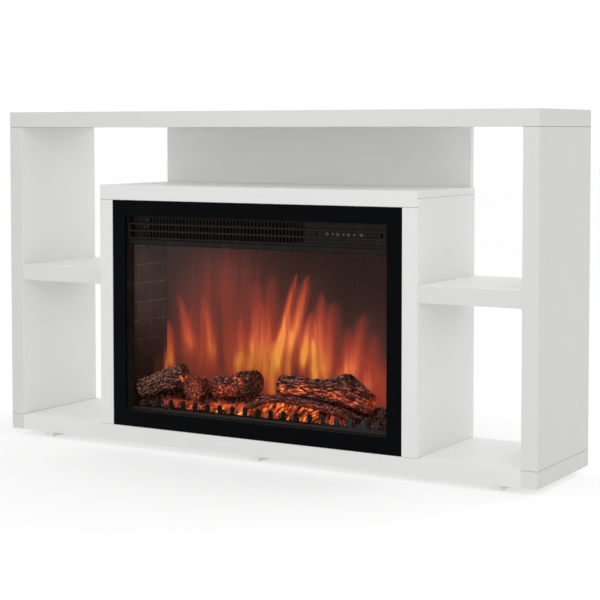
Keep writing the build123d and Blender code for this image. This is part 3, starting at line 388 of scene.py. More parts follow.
def window_glass():
    """Thin clear glass: it lets light straight through and mirrors a little more at a grazing angle."""
    material = bpy.data.materials.new("window_glass")
    material.use_nodes = True
    g = Graph(material.node_tree)
    g.tree.nodes.remove(g.tree.nodes["Principled BSDF"])
    # A painted reflection: a faint grey sheen, given off by the pane, pales it near the top left corner.
    sheen_patches = g.spread(g.noise(9, 6, 0.6, distortion=1.0), 0.3, 0.7, 0.85, 1.0)
    axes = g.axes()
    to_left = g.spread(axes["X"], 0.12, -0.30, smooth=True)
    sheen_mask = g.product(to_left, g.spread(axes["Z"], 0.20, 0.46, smooth=True))
    strength = g.product(sheen_mask, sheen_patches, 0.009)
    painted_sheen = g.add("Emission", {"Color": (0.95, 0.95, 1.0, 1), "Strength": strength})
    clear = g.add("BsdfTransparent", {"Color": (0.955, 0.96, 0.955, 1)})
    mirror = g.add("BsdfGlossy", {"Color": (0.9, 0.92, 0.92, 1), "Roughness": 0.0})
    share = g.add("Fresnel", {"IOR": 1.07})
    both = g.add("MixShader", {0: share.outputs["Fac"], 1: clear.outputs[0], 2: mirror.outputs[0]})
    sheen_and_pane = g.add("AddShader", {0: both.outputs[0], 1: painted_sheen.outputs[0]})
    g.feed(g.tree.nodes["Material Output"].inputs["Surface"], sheen_and_pane.outputs[0])
    return material


# Painted flame light on the brick walls, in millimetres: distance before the back edge, Z, half width, half
# height and heat.
BRICK_GLOWS = [(0, 172, 15, 48, 0.85), (38, 165, 13, 34, 0.22)]
BRICK_GLOW_COLOURS = [
    (0.0, (0, 0, 0, 1)),
    (0.3, srgb(74, 34, 24)),
    (0.6, srgb(140, 66, 36)),
    (0.9, srgb(188, 112, 46)),
]
BRICK_PANEL_THICK = 4 * MM


def brick_print():
    """Dark bricks, with paler mortar at the bottom of the joints in the splayed walls."""
    material, g, shader = new_material("brick_panel", Specular_IOR_Level=0.2)
    low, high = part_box("right_brick_panel")
    run, splay = high.y - low.y, high.x - low.x - BRICK_PANEL_THICK
    length = sqrt(run * run + splay * splay)
    axes = g.axes()
    sideways = g.product(g.math("ABSOLUTE", axes["X"]), run / length)
    backwards = g.product(axes["Y"], splay / length)
    face = ((high.x - BRICK_PANEL_THICK) * run + low.y * splay) / length
    depth = g.math("SUBTRACT", g.math("ADD", sideways, backwards), face)
    recess = g.spread(depth, 0.4 * MM, 1.0 * MM)
    stain = g.noise(22, 6, 0.65)
    brick = g.ramp(stain, [(0.25, srgb(62, 45, 38)), (0.5, srgb(88, 64, 54)), (0.8, srgb(110, 84, 72))])
    mortar = g.mix(g.spread(g.noise(60, 4), 0.4, 0.65), srgb(104, 80, 70), srgb(150, 124, 110))
    # The lower courses are darker.
    lower_darkening = g.spread(axes["Z"], 0.34, 0.20, 0.0, 0.75, smooth=True)
    g.feed(shader["Base Color"], g.mix(lower_darkening, g.mix(recess, brick, mortar), srgb(34, 27, 24)))
    g.feed(shader["Roughness"], g.spread(stain, 0.3, 0.7, 0.55, 0.8))
    g.feed(shader["Normal"], g.bump(g.noise(260, 6, 0.7), 0.5, 0.0008))
    # Painted reflection of the nearest flames: the back edge of the left wall glows with them. None stand
    # so close to the right one.
    heat = 0.0
    for before_back, foot, across, tall, amount in BRICK_GLOWS:
        sideways = g.math("DIVIDE", g.math("SUBTRACT", axes["Y"], high.y - before_back * MM), across * MM)
        upwards = g.math("DIVIDE", g.math("SUBTRACT", axes["Z"], foot * MM), tall * MM)
        heat = g.math("ADD", heat, g.product(g.bell(sideways, upwards), amount))
    heat = g.product(heat, g.spread(axes["X"], 0.1, -0.1, 0.2, 1.0))
    g.feed(shader["Emission Color"], g.ramp(heat, BRICK_GLOW_COLOURS))
    shader["Emission Strength"].default_value = 1.0
    return material


# The tongues of the flame picture, in millimetres: foot X, foot Z, height, half width, lean, bow and heat.
# The lean is how far the tip stands to the right of the foot, and the bow how far the middle swings out. A
# tongue with negative heat is a dark gap.
FLAMES = [
    (-334, 150, 140, 21, -6, 0, 0.82),
    (-272, 200, 160, 20, -44, 8, 0.50),
    (-288, 160, 260, 46, -25, 0, 0.14),
    (-208, 185, 176, 19, -34, 0, 0.44),
    (-222, 160, 260, 42, -18, 0, 0.12),
    (-172, 170, 310, 22, 4, 0, 0.16),
    (-150, 150, 200, 20, 6, 0, 0.16),
    (-142, 165, 150, 15, 12, 0, 0.34),
    (-140, 135, 95, 34, 8, 0, 0.44),
    (-108, 160, 120, 14, 4, 0, 0.32),
    (-90, 140, 215, 30, 20, 0, 0.42),
    (-62, 140, 150, 20, 8, 0, 0.26),
    (-45, 90, 170, 26, 6, 0, 0.52),
    (-30, 160, 262, 15, 56, -12, 1.18),
    (-14, 150, 150, 15, 8, 0, 0.22),
    (10, 215, 205, 23, 46, -8, 1.04),
    (4, 130, 205, 8, -2, 0, 0.46),
    (40, 175, 160, 17, 26, -4, 0.96),
    (20, 190, 120, 18, 8, 0, 0.24),
    (56, 200, 172, 26, 38, 0, 0.40),
    (74, 135, 135, 13, -2, 0, 0.80),
    (72, 220, 165, 20, 22, 0, 0.34),
    (98, 150, 215, 30, 26, -6, 0.62),
    (98, 150, 60, 12, 2, 0, 0.26),
    (132, 150, 62, 12, 4, 0, 0.26),
    (146, 155, 155, 20, 14, 0, 0.34),
    (168, 160, 182, 27, 38, -4, 0.54),
    (218, 130, 165, 28, 16, 0, 0.36),
    (258, 95, 150, 26, 8, 0, 0.16),
    (-96, 180, 225, 34, 12, 0, 0.34),
    (-54, 190, 225, 30, 10, 0, 0.28),
    (24, 130, 150, 9, 4, 0, -0.26),
    (-110, 190, 150, 9, 6, 0, -0.20),
    (-190, 160, 190, 15, -2, 0, -0.16),
    (124, 170, 120, 9, 8, 0, -0.20),
    (-28, 240, 150, 10, 26, 0, -0.18),
]
# Soft light round the flames, in millimetres: X, Z, half width, half height and heat.
GLOWS = [
    (-60, 200, 200, 100, 0.40),
    (-250, 215, 75, 110, 0.24),
    (205, 160, 120, 80, 0.44),
    (-110, 330, 130, 90, 0.16),
    (-225, 390, 100, 100, 0.17),
    (100, 260, 90, 70, 0.12),
    (-120, 420, 110, 70, 0.12),
    (60, 380, 60, 60, 0.10),
    (225, 290, 60, 70, 0.10),
]


def tongue_group():
    """A node group for one flame tongue. It adds its heat to the heat that comes in."""
    tree = bpy.data.node_groups.new("flame_tongue", "ShaderNodeTree")
    for name in ("Before", "X", "Z", "Foot X", "Foot Z", "Height", "Half Width", "Lean", "Bow", "Heat"):
        tree.interface.new_socket(name, in_out="INPUT", socket_type="NodeSocketFloat")
    tree.interface.new_socket("After", in_out="OUTPUT", socket_type="NodeSocketFloat")
    g = Graph(tree)
    given = tree.nodes.new("NodeGroupInput").outputs
    up = g.math("DIVIDE", g.math("SUBTRACT", given["Z"], given["Foot Z"]), given["Height"], clamp=True)
    left = g.math("SUBTRACT", 1.0, up)
    swing = g.product(up, left, 4.0, given["Bow"])
    middle = g.math("ADD", given["Foot X"], g.math("ADD", g.product(given["Lean"], up), swing))
    belly = g.product(g.math("ADD", 0.7, g.product(up, 0.8)), g.math("POWER", left, 0.5))
    half = g.math("MAXIMUM", g.product(given["Half Width"], belly), 0.0003)
    out = g.math("DIVIDE", g.math("SUBTRACT", given["X"], middle), half)
    core = g.math("POWER", EULER, g.product(out, out, -1.0))
    foot = g.spread(up, 0.0, 0.3, smooth=True)
    height = g.product(foot, g.math("POWER", left, 0.4))
    heat = g.product(core, height, given["Heat"])
    rest = g.product(heat, g.math("SUBTRACT", 1.0, g.product(given["Before"], 0.45)))
    result = tree.nodes.new("NodeGroupOutput")
    g.feed(result.inputs["After"], g.math("ADD", given["Before"], rest))
    return tree


def glow_group():
    """Make the node group soft_glow, for one glow. It adds its heat to the heat that comes in."""
    tree = bpy.data.node_groups.new("soft_glow", "ShaderNodeTree")
    for name in ("Before", "X", "Z", "Centre X", "Centre Z", "Half Width", "Half Height", "Heat"):
        tree.interface.new_socket(name, in_out="INPUT", socket_type="NodeSocketFloat")
    tree.interface.new_socket("After", in_out="OUTPUT", socket_type="NodeSocketFloat")
    g = Graph(tree)
    given = tree.nodes.new("NodeGroupInput").outputs
    across = g.math("DIVIDE", g.math("SUBTRACT", given["X"], given["Centre X"]), given["Half Width"])
    up = g.math("DIVIDE", g.math("SUBTRACT", given["Z"], given["Centre Z"]), given["Half Height"])
    result = tree.nodes.new("NodeGroupOutput")
    added = g.product(g.bell(across, up), given["Heat"])
    g.feed(result.inputs["After"], g.math("ADD", given["Before"], added))


def glows(g, heat, x, z, places):
    """Heat with a soft glow added at each place."""
    for centre_x, centre_z, half_width, half_height, amount in places:
        sockets = {
            "Before": heat,
            "X": x,
            "Z": z,
            "Centre X": centre_x * MM,
            "Centre Z": centre_z * MM,
            "Half Width": half_width * MM,
            "Half Height": half_height * MM,
            "Heat": amount,
        }
        heat = group_output(g, bpy.data.node_groups["soft_glow"], sockets)
    return heat


def flame_picture():
    material, g, shader = new_material("flame_picture", Roughness=0.6, Specular_IOR_Level=0.1)
    shader["Base Color"].default_value = srgb(12, 8, 7)
    axes = g.axes()
    # A slow sideways drift bends every tongue alike, so that no edge is a clean curve.
    drift = g.noise(9, 2, vector=g.stretch((1, 1, 0.5)))
    ripple = g.noise(38, 2, vector=g.stretch((1, 1, 0.3)))
    shift = g.math("ADD", g.spread(drift, 0, 1, -0.014, 0.014), g.spread(ripple, 0, 1, -0.006, 0.006))
    x = g.math("ADD", axes["X"], shift)
    tongue = tongue_group()
    heat = glows(g, 0.03, x, axes["Z"], GLOWS)
    for foot_x, foot_z, height, half_width, lean, bow, amount in FLAMES:
        sockets = {
            "Before": heat,
            "X": x,
            "Z": axes["Z"],
            "Foot X": foot_x * MM,
            "Foot Z": foot_z * MM,
            "Height": height * MM,
            "Half Width": half_width * MM,
            "Lean": lean * MM,
            "Bow": bow * MM,
            "Heat": amount,
        }
        heat = group_output(g, tongue, sockets)
    wisps = g.noise(1.0, 3, 0.6, vector=g.stretch((75, 75, 7)))
    heat = g.product(heat, g.spread(wisps, 0.28, 0.72, 0.80, 1.16))
    cool = [(0.0, srgb(30, 18, 14)), (0.15, srgb(62, 34, 28)), (0.3, srgb(98, 44, 35))]
    red = cool + [
        (0.45, srgb(131, 51, 37)),
        (0.6, srgb(158, 60, 41)),
        (0.72, srgb(182, 78, 51)),
        (0.85, srgb(216, 100, 60)),
        (1.0, srgb(244, 144, 67)),
    ]
    gold = cool + [
        (0.45, srgb(134, 53, 37)),
        (0.6, srgb(162, 70, 39)),
        (0.72, srgb(184, 94, 42)),
        (0.85, srgb(200, 118, 46)),
        (1.0, srgb(226, 150, 58)),
    ]
    low = g.spread(axes["Z"], 0.275, 0.19, smooth=True)
    golden = g.product(low, g.spread(axes["X"], 0.13, 0.07))
    g.feed(shader["Emission Color"], g.mix(golden, g.ramp(heat, red), g.ramp(heat, gold)))
    shader["Emission Strength"].default_value = 1.05
    return material


def group_output(g, tree, sockets):
    node = g.tree.nodes.new("ShaderNodeGroup")
    node.node_tree = tree
    for name, value in sockets.items():
        g.feed(node.inputs[name], value)
    return node.outputs["After"]


# Ember light from cold to hottest.
FIRE_COLOURS = [
    (0.0, (0, 0, 0, 1)),
    (0.15, (0.045, 0.005, 0.002, 1)),
    (0.35, (0.23, 0.026, 0.007, 1)),
    (0.55, (0.70, 0.085, 0.016, 1)),
    (0.72, (0.93, 0.19, 0.028, 1)),
    (0.88, (1.0, 0.42, 0.065, 1)),
    (1.0, (1.0, 0.66, 0.18, 1)),
]
# Resin bark from its ridges to the bottom of its cracks.
BARK_COLOURS = [
    (0.0, srgb(222, 160, 144)),
    (0.14, srgb(176, 106, 90)),
    (0.34, srgb(126, 66, 53)),
    (0.58, srgb(56, 26, 20)),
    (0.82, srgb(8, 4, 3)),
]
# The crust of the ember bed from its hollows to its tips.
EMBER_COLOURS = [
    (0.38, srgb(10, 6, 5)),
    (0.5, srgb(52, 28, 23)),
    (0.58, srgb(126, 80, 68)),
    (0.70, srgb(196, 150, 136)),
]
# Where each kind of bark glows, partly with fire showing through it and partly with painted ember light, in
# millimetres: X, Z, half width, half height and heat.
PLATE_FIRE = [
    (-228, 167, 5, 9, 0.90),
    (-192, 156, 20, 20, 0.54),
    (-118, 152, 24, 16, 0.46),
    (-84, 156, 22, 14, 0.46),
    (-78, 183, 26, 6, 0.60),
    (-52, 170, 10, 12, 0.55),
]
FIBRE_FIRE = [
    (56, 168, 9, 12, 0.90),
    (86, 164, 26, 8, 0.76),
    (106, 180, 12, 11, 0.76),
    (128, 170, 24, 8, 0.52),
    (188, 166, 26, 8, 0.54),
    (206, 158, 22, 6, 0.50),
    (238, 148, 22, 6, 0.44),
    (281, 142, 7, 15, 0.90),
    (262, 160, 26, 20, 0.34),
    (224, 174, 30, 16, 0.26),
    (160, 172, 40, 16, 0.24),
]
BRANCH_FIRE = [(60, 140, 60, 7, 0.30), (150, 134, 60, 8, 0.34)]


def charred_bark(name, plate, fibre, fire):
    """Painted resin bark: red-brown plates, black cracks between them, and pale dust with a painted
    highlight on their upper edges.

    plate and fibre scale the cracks and the grain, and fire is a list of places where it glows.
    """
    material, g, shader = new_material(name, Specular_IOR_Level=0.2)
    furrow = g.attribute("furrow")
    axes = g.axes()
    edge = g.cells(1.0, "DISTANCE_TO_EDGE", vector=g.stretch(plate, g.bent(60, 0.010)))
    split = g.spread(edge, 0.17, 0.03)
    grain = g.noise(1.0, 7, 0.75, vector=g.stretch(fibre))
    rough = g.spread(grain, 0.28, 0.72, 0.30, -0.30)
    cracks = g.math("ADD", g.product(furrow, 0.62), g.product(split, 0.34))
    depth = g.math("ADD", cracks, rough)
    bark = g.ramp(depth, BARK_COLOURS)
    bark = g.mix(g.spread(g.noise(30, 5, 0.6), 0.42, 0.62, 0.0, 0.48), bark, srgb(34, 17, 14))
    # The log furthest to the left is paler.
    pale = g.product(g.spread(axes["X"], -0.21, -0.25, 0.0, 0.42), g.spread(depth, 0.65, 0.20))
    bark = g.mix(pale, bark, srgb(206, 146, 130))
    # Pale dust and a painted highlight on the upward-facing ridges.
    upward = g.axes(g.add("NewGeometry").outputs["Normal"])["Z"]
    pale_marks_and_highlight = g.product(g.spread(upward, 0.05, 0.8), g.spread(g.noise(260, 4, 0.7), 0.50, 0.60))
    dust = g.product(pale_marks_and_highlight, g.spread(depth, 0.40, 0.10))
    bark = g.mix(dust, bark, srgb(240, 206, 196))
    # Painted shade: the undersides are painted black.
    g.feed(shader["Base Color"], g.mix(g.spread(upward, 0.0, -0.55, 0.0, 0.88), bark, srgb(12, 7, 6)))
    g.feed(shader["Roughness"], g.spread(grain, 0.3, 0.7, 0.6, 0.9))
    normal = g.bump(g.product(split, -1.0), 0.8, 0.0016)
    g.feed(shader["Normal"], g.bump(grain, 0.9, 0.0024, normal))
    # Fire glows through the paint of the ridges, and not out of the black cracks; part of this glow is
    # painted ember light on the ridges.
    heat = glows(g, 0.0, axes["X"], axes["Z"], fire)
    ridges = g.spread(depth, 0.75, 0.30, 0.12, 1.0)
    heat = g.product(heat, g.spread(grain, 0.36, 0.64, 0.25, 1.35), ridges)
    g.feed(shader["Emission Color"], g.ramp(heat, FIRE_COLOURS))
    shader["Emission Strength"].default_value = 1.0
    return material


def glowing_embers():
    """Charred sticks and lumps with fire between them, hottest in the middle of the bed."""
    material, g, shader = new_material("glowing_embers", Specular_IOR_Level=0.2)
    axes = g.axes()
    crack = g.attribute("furrow")
    crust = g.noise(1.0, 6, 0.75, vector=g.stretch((150, 90, 90)))
    g.feed(shader["Base Color"], g.ramp(crust, EMBER_COLOURS))
    g.feed(shader["Roughness"], g.spread(crust, 0.3, 0.7, 0.6, 0.9))
    g.feed(shader["Normal"], g.bump(crust, 0.9, 0.0024))
    middle = g.spread(g.distance(axes["X"], 0.006), 0.225, 0.195, 0.05, 1.0, smooth=True)
    # The fire stands in streaks up the slope of the bed, with burnt sticks between them.
    streaks = g.noise(1.0, 5, 0.7, vector=g.stretch((130, 16, 28), g.bent(50, 0.012)))
    between = g.spread(crack, 0.05, 0.50, 0.58, 1.0)
    patches = g.spread(g.noise(26, 2, 0.6), 0.34, 0.56, 0.60, 1.0)
    fire = g.product(g.spread(streaks, 0.445, 0.62, 0.0, 1.05), between, patches)
    # It reaches further in under the branch.
    into = g.math("SUBTRACT", axes["Y"], BED_LOW.y)
    under_branch = g.spread(g.distance(axes["X"], 0.045), 0.100, 0.080)
    reach = g.spread(under_branch, 0.0, 1.0, 0.030, 0.072)
    fire = g.product(fire, g.spread(g.math("SUBTRACT", into, reach), 0.0, -0.012))
    fire = g.product(fire, g.spread(under_branch, 0.0, 1.0, 1.08, 0.86))
    # Behind the front face, the bed glows more evenly under the logs.
    behind = g.product(g.spread(into, 0.012, 0.020), g.spread(into, 0.048, 0.032))
    under_middle_log = g.spread(g.distance(axes["X"], -0.085), 0.085, 0.065, smooth=True)
    under_left_log = g.spread(g.distance(axes["X"], -0.235), 0.060, 0.040, 0.0, 0.66, smooth=True)
    under_left_log = g.product(under_left_log, g.spread(crack, 0.15, 0.70))
    under_log = g.math("MAXIMUM", under_middle_log, under_left_log)
    even = g.product(behind, under_log, g.spread(crust, 0.35, 0.6, 0.72, 0.42))
    even = g.product(even, g.spread(streaks, 0.40, 0.54, 0.35, 1.0))
    heat = g.math("MAXIMUM", g.product(middle, fire), even)
    g.feed(shader["Emission Color"], g.ramp(heat, FIRE_COLOURS))
    shader["Emission Strength"].default_value = 1.1
    return material


def grate_iron():
    """Black castings, painted greyer towards the right as painted light, where more daylight reaches them.
    """
    material, g, shader = new_material("grate_iron", Specular_IOR_Level=0.15)
    casting = g.noise(240, 5, 0.7)
    black = g.ramp(casting, [(0.3, srgb(7, 7, 7)), (0.75, srgb(18, 18, 19))])
    grey = g.ramp(casting, [(0.3, srgb(40, 44, 48)), (0.75, srgb(66, 70, 76))])
    g.feed(shader["Base Color"], g.mix(g.spread(g.axes()["X"], 0.12, 0.27, smooth=True), black, grey))
    g.feed(shader["Roughness"], g.spread(casting, 0.3, 0.7, 0.5, 0.75))
    g.feed(shader["Normal"], g.bump(casting, 0.5, 0.0006))
    return material


def push_button():
    """Dark gloss caps with a pale ring near the rim."""
    material, g, shader = new_material("button_cap", Specular_IOR_Level=0.5)
    axes = g.axes()
    ring = 0.0
    for name in ("flame_button", "low_heat_button", "high_heat_button"):
        low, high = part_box(name)
        dx = g.math("SUBTRACT", axes["X"], (low.x + high.x) / 2)
        dz = g.math("SUBTRACT", axes["Z"], (low.z + high.z) / 2)
        radius = g.math("SQRT", g.math("ADD", g.product(dx, dx), g.product(dz, dz)))
        off_ring = g.distance(radius, 3.3 * MM)
        ring = g.math("MAXIMUM", ring, g.spread(off_ring, 0.55 * MM, 0.35 * MM))
    wear = g.spread(g.noise(700, 3), 0.35, 0.6, 0.55, 1.0)
    g.feed(shader["Base Color"], g.mix(g.product(ring, wear), srgb(20, 19, 19), srgb(64, 63, 62)))
    g.feed(shader["Roughness"], g.spread(g.noise(300, 4), 0.3, 0.7, 0.22, 0.4))
    g.feed(shader["Normal"], g.bump(g.noise(1500, 2), 0.05, 0.0001))
    return material


def dark_lens():
    material, g, shader = new_material("dark_lens", Specular_IOR_Level=0.5, Coat_Weight=0.4)
    cloud = g.noise(500, 3)
    g.feed(shader["Base Color"], g.ramp(cloud, [(0.3, srgb(30, 28, 27)), (0.7, srgb(44, 41, 40))]))
    g.feed(shader["Roughness"], g.spread(cloud, 0.3, 0.7, 0.15, 0.3))
    g.feed(shader["Normal"], g.bump(cloud, 0.05, 0.0001))
    return material


# ---- Pieces modelled here ----


def finish_mesh(name, bm, material, body, replaced):
    mesh = bpy.data.meshes.new(name)
    bm.normal_update()
    bm.to_mesh(mesh)
    bm.free()
    mesh.materials.append(material)
    for polygon in mesh.polygons:
        polygon.use_smooth = True
    piece = bpy.data.objects.new(name, mesh)
    bpy.context.scene.collection.objects.link(piece)
    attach(piece, body)
    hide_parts(*replaced)


def join_rings(bm, rings):
    """Faces between each ring of vertices and the next."""
    for a, b in zip(rings, rings[1:]):
        for i in range(len(a)):
            j = (i + 1) % len(a)
            bm.faces.new((a[i], a[j], b[j], b[i]))


def bark_depth(point, plate):
    """How deep the bark is, 0 on a ridge to 1 in a crack. plate is the size of a bark plate."""
    cell = Vector((point.x / plate[0], point.y / plate[1], point.z / plate[2]))
    cell += 0.5 * noise.noise_vector(cell * 0.8) + 0.18 * noise.noise_vector(cell * 2.3)
    near = noise.voronoi(cell)[0]
    crack = max(0.0, 1.0 - (near[1] - near[0]) / 0.30)
    small = noise.voronoi(cell * 2.3)[0]
    chips = max(0.0, 1.0 - (small[1] - small[0]) / 0.34)
    fine = 0.5 + 0.5 * noise.noise(cell * 5.1)
    return min(1.0, 0.62 * crack**0.8 + 0.26 * chips + 0.2 * fine)


def log_piece(name, sections, plate, material, relief, lumps, seed):
    """A closed log through its sections, with bark round it and two sawn ends.

    Each section is (X, Y, Z, radius) in metres. The section planes are square to the line between the ends.
    plate is the size of a bark plate, relief how deep the cracks are, and lumps how uneven the log is.
    """
    centres = [Vector(section[:3]) for section in sections]
    axis = (centres[-1] - centres[0]).normalized()
    side = axis.cross(Vector((0, 0, 1))).normalized()
    top = side.cross(axis)
    length = (centres[-1] - centres[0]).length
    stops = [(centre - centres[0]).dot(axis) / length for centre in centres]
    around, cap_rings = 150, 12
    along = max(24, int(length / 0.0017))
    offset = Vector((seed * 3.7, seed * 1.9, seed * 5.3))
    bm = bmesh.new()
    layer = bm.verts.layers.float.new("furrow")

    def section_at(s):
        k = max(i for i in range(len(stops) - 1) if s >= stops[i] - 1e-9)
        t = (s - stops[k]) / (stops[k + 1] - stops[k])
        centre = centres[k].lerp(centres[k + 1], t)
        # The radius eases from section to section, except on a plain taper.
        t = t * t * (3 - 2 * t) if len(stops) > 2 else t
        return centre, sections[k][3] * (1 - t) + sections[k + 1][3] * t

    def ring(s, inset=0.0, cap=0.0):
        """One ring at s along the log. inset pulls it towards the axis, and cap is 1 on a sawn end."""
        middle, radius = section_at(s)
        verts = []
        for i in range(around):
            a = 2 * pi * i / around
            out = cos(a) * side + sin(a) * top
            local = Vector((cos(a) * radius, sin(a) * radius, s * length)) + offset
            swell = 1.04 + lumps * noise.noise(local * 28)
            swell += lumps * 0.8 * noise.noise(Vector((a, 0, s * 3)) + offset)
            depth = bark_depth(local, plate)
            rough = 0.0012 * noise.noise(local * 380)
            reach = radius * swell - relief * depth + rough
            v = bm.verts.new(middle + out * reach * (1 - inset))
            rays = 0.5 + 0.5 * noise.noise(Vector((a * 5, inset * 9, seed)))
            v[layer] = depth * (1 - cap) + (0.35 + 0.35 * rays) * cap
            verts.append(v)
        return verts

    rings = []
    for k in range(cap_rings, 0, -1):
        rings.append(ring(0.0, k / (cap_rings + 0.4), 1.0))
    for j in range(along + 1):
        rings.append(ring(j / along))
    for k in range(1, cap_rings + 1):
        rings.append(ring(1.0, k / (cap_rings + 0.4), 1.0))
    # The sawn ends are rough and dished.
    for index, outward in ((0, -1), (len(rings) - 1, 1)):
        step = 1 if index == 0 else -1
        for k in range(cap_rings):
            for v in rings[index + step * k]:
                grain = noise.noise(v.co * 150 + offset)
                v.co += axis * outward * (0.0022 * grain - 0.0030 * (cap_rings - k) / cap_rings)
    join_rings(bm, rings)
    for outer, outward in ((rings[0], -1), (rings[-1], 1)):
        centre = bm.verts.new(sum((v.co for v in outer), Vector()) / around)
        centre[layer] = 0.6
        for i in range(around):
            j = (i + 1) % around
            face = (outer[j], outer[i], centre) if outward < 0 else (outer[i], outer[j], centre)
            bm.faces.new(face)
    bmesh.ops.recalc_face_normals(bm, faces=bm.faces)
    finish_mesh(name, bm, material, "console", [name.replace("bark_", "")])


# The logs follow the CAD ones: X, depth behind the front, Z and radius of each section, in millimetres.
LOGS = {
    "left_log": [(-342, 52, 135, 24), (-230, 80, 178, 26)],
    "small_log": [(-193, 56, 149, 29), (-193, 100, 147, 22)],
    "middle_log": [(-142, 80, 151, 26), (-25, 68, 174, 30)],
    "right_log": [(39, 70, 173, 23), (146, 70, 168, 25), (206, 74, 174, 38), (276, 66, 149, 26)],
    "end_log": [(326, 50, 124, 24), (322, 116, 134, 22)],
}


def in_metres(section):
    x, depth, z, radius = section
    return x * MM, FRONT_Y + depth * MM, z * MM, radius * MM


def build_logs():
    plates = charred_bark("charred_bark_plates", (120, 120, 120), (220, 300, 300), PLATE_FIRE)
    fibres = charred_bark("charred_bark_fibres", (26, 150, 150), (50, 380, 380), FIBRE_FIRE)
    looks = {
        "left_log": ((0.010, 0.010, 0.017), plates, 0.0060, 0.08),
        "small_log": ((0.010, 0.010, 0.012), plates, 0.0055, 0.10),
        "middle_log": ((0.010, 0.010, 0.016), plates, 0.0060, 0.08),
        "right_log": ((0.007, 0.007, 0.052), fibres, 0.0065, 0.12),
        "end_log": ((0.009, 0.009, 0.013), plates, 0.0055, 0.06),
    }
    for seed, (name, sections) in enumerate(LOGS.items(), 1):
        plate, material, relief, lumps = looks[name]
        places = [in_metres(section) for section in sections]
        log_piece("bark_" + name, places, plate, material, relief, lumps, seed)


def build_branch():
    """The thin charred branch that lies along the front of the embers."""
    material = charred_bark("charred_branch", (60, 220, 220), (70, 420, 420), BRANCH_FIRE)
    radius, length, depth = 0.0095, 0.33, 46
    path = [(-46, 114), (8, 138), (60, 144), (154, 135), (268, 118)]
    points = [Vector((x * MM, FRONT_Y + depth * MM, z * MM)) for x, z in path]
    around, along = 56, 220
    bm = bmesh.new()
    layer = bm.verts.layers.float.new("furrow")
    rings = []
    for j in range(along + 1):
        s = j / along
        middle = catmull(points, s)
        ahead = (catmull(points, min(1, s + 0.01)) - catmull(points, max(0, s - 0.01))).normalized()
        side = ahead.cross(Vector((0, 0, 1))).normalized()
        top = side.cross(ahead)
        taper = min(1.0, 0.35 + 6 * min(s, 1 - s))
        verts = []
        for i in range(around):
            a = 2 * pi * i / around
            local = Vector((cos(a) * radius, sin(a) * radius, s * length))
            furrow = bark_depth(local, (0.004, 0.004, 0.03))
            reach = radius * taper * (1.05 + 0.2 * noise.noise(local * 45)) - 0.0028 * furrow
            v = bm.verts.new(middle + (cos(a) * side + sin(a) * top) * reach)
            v[layer] = furrow
            verts.append(v)
        rings.append(verts)
    join_rings(bm, rings)
    bm.faces.new(rings[0])
    bm.faces.new(rings[-1])
    bmesh.ops.recalc_face_normals(bm, faces=bm.faces)
    finish_mesh("bark_front_branch", bm, material, "console", ["front_branch"])


def catmull(points, s):
    """A point at s along a smooth curve through the points."""
    spans = len(points) - 1
    k = min(int(s * spans), spans - 1)
    t = s * spans - k
    p0, p1 = points[max(k - 1, 0)], points[k]
    p2, p3 = points[k + 1], points[min(k + 2, spans)]
    square = (2 * p0 - 5 * p1 + 4 * p2 - p3) * t**2
    cube = (3 * p1 - p0 - 3 * p2 + p3) * t**3
    return 0.5 * (2 * p1 + (p2 - p0) * t + square + cube)


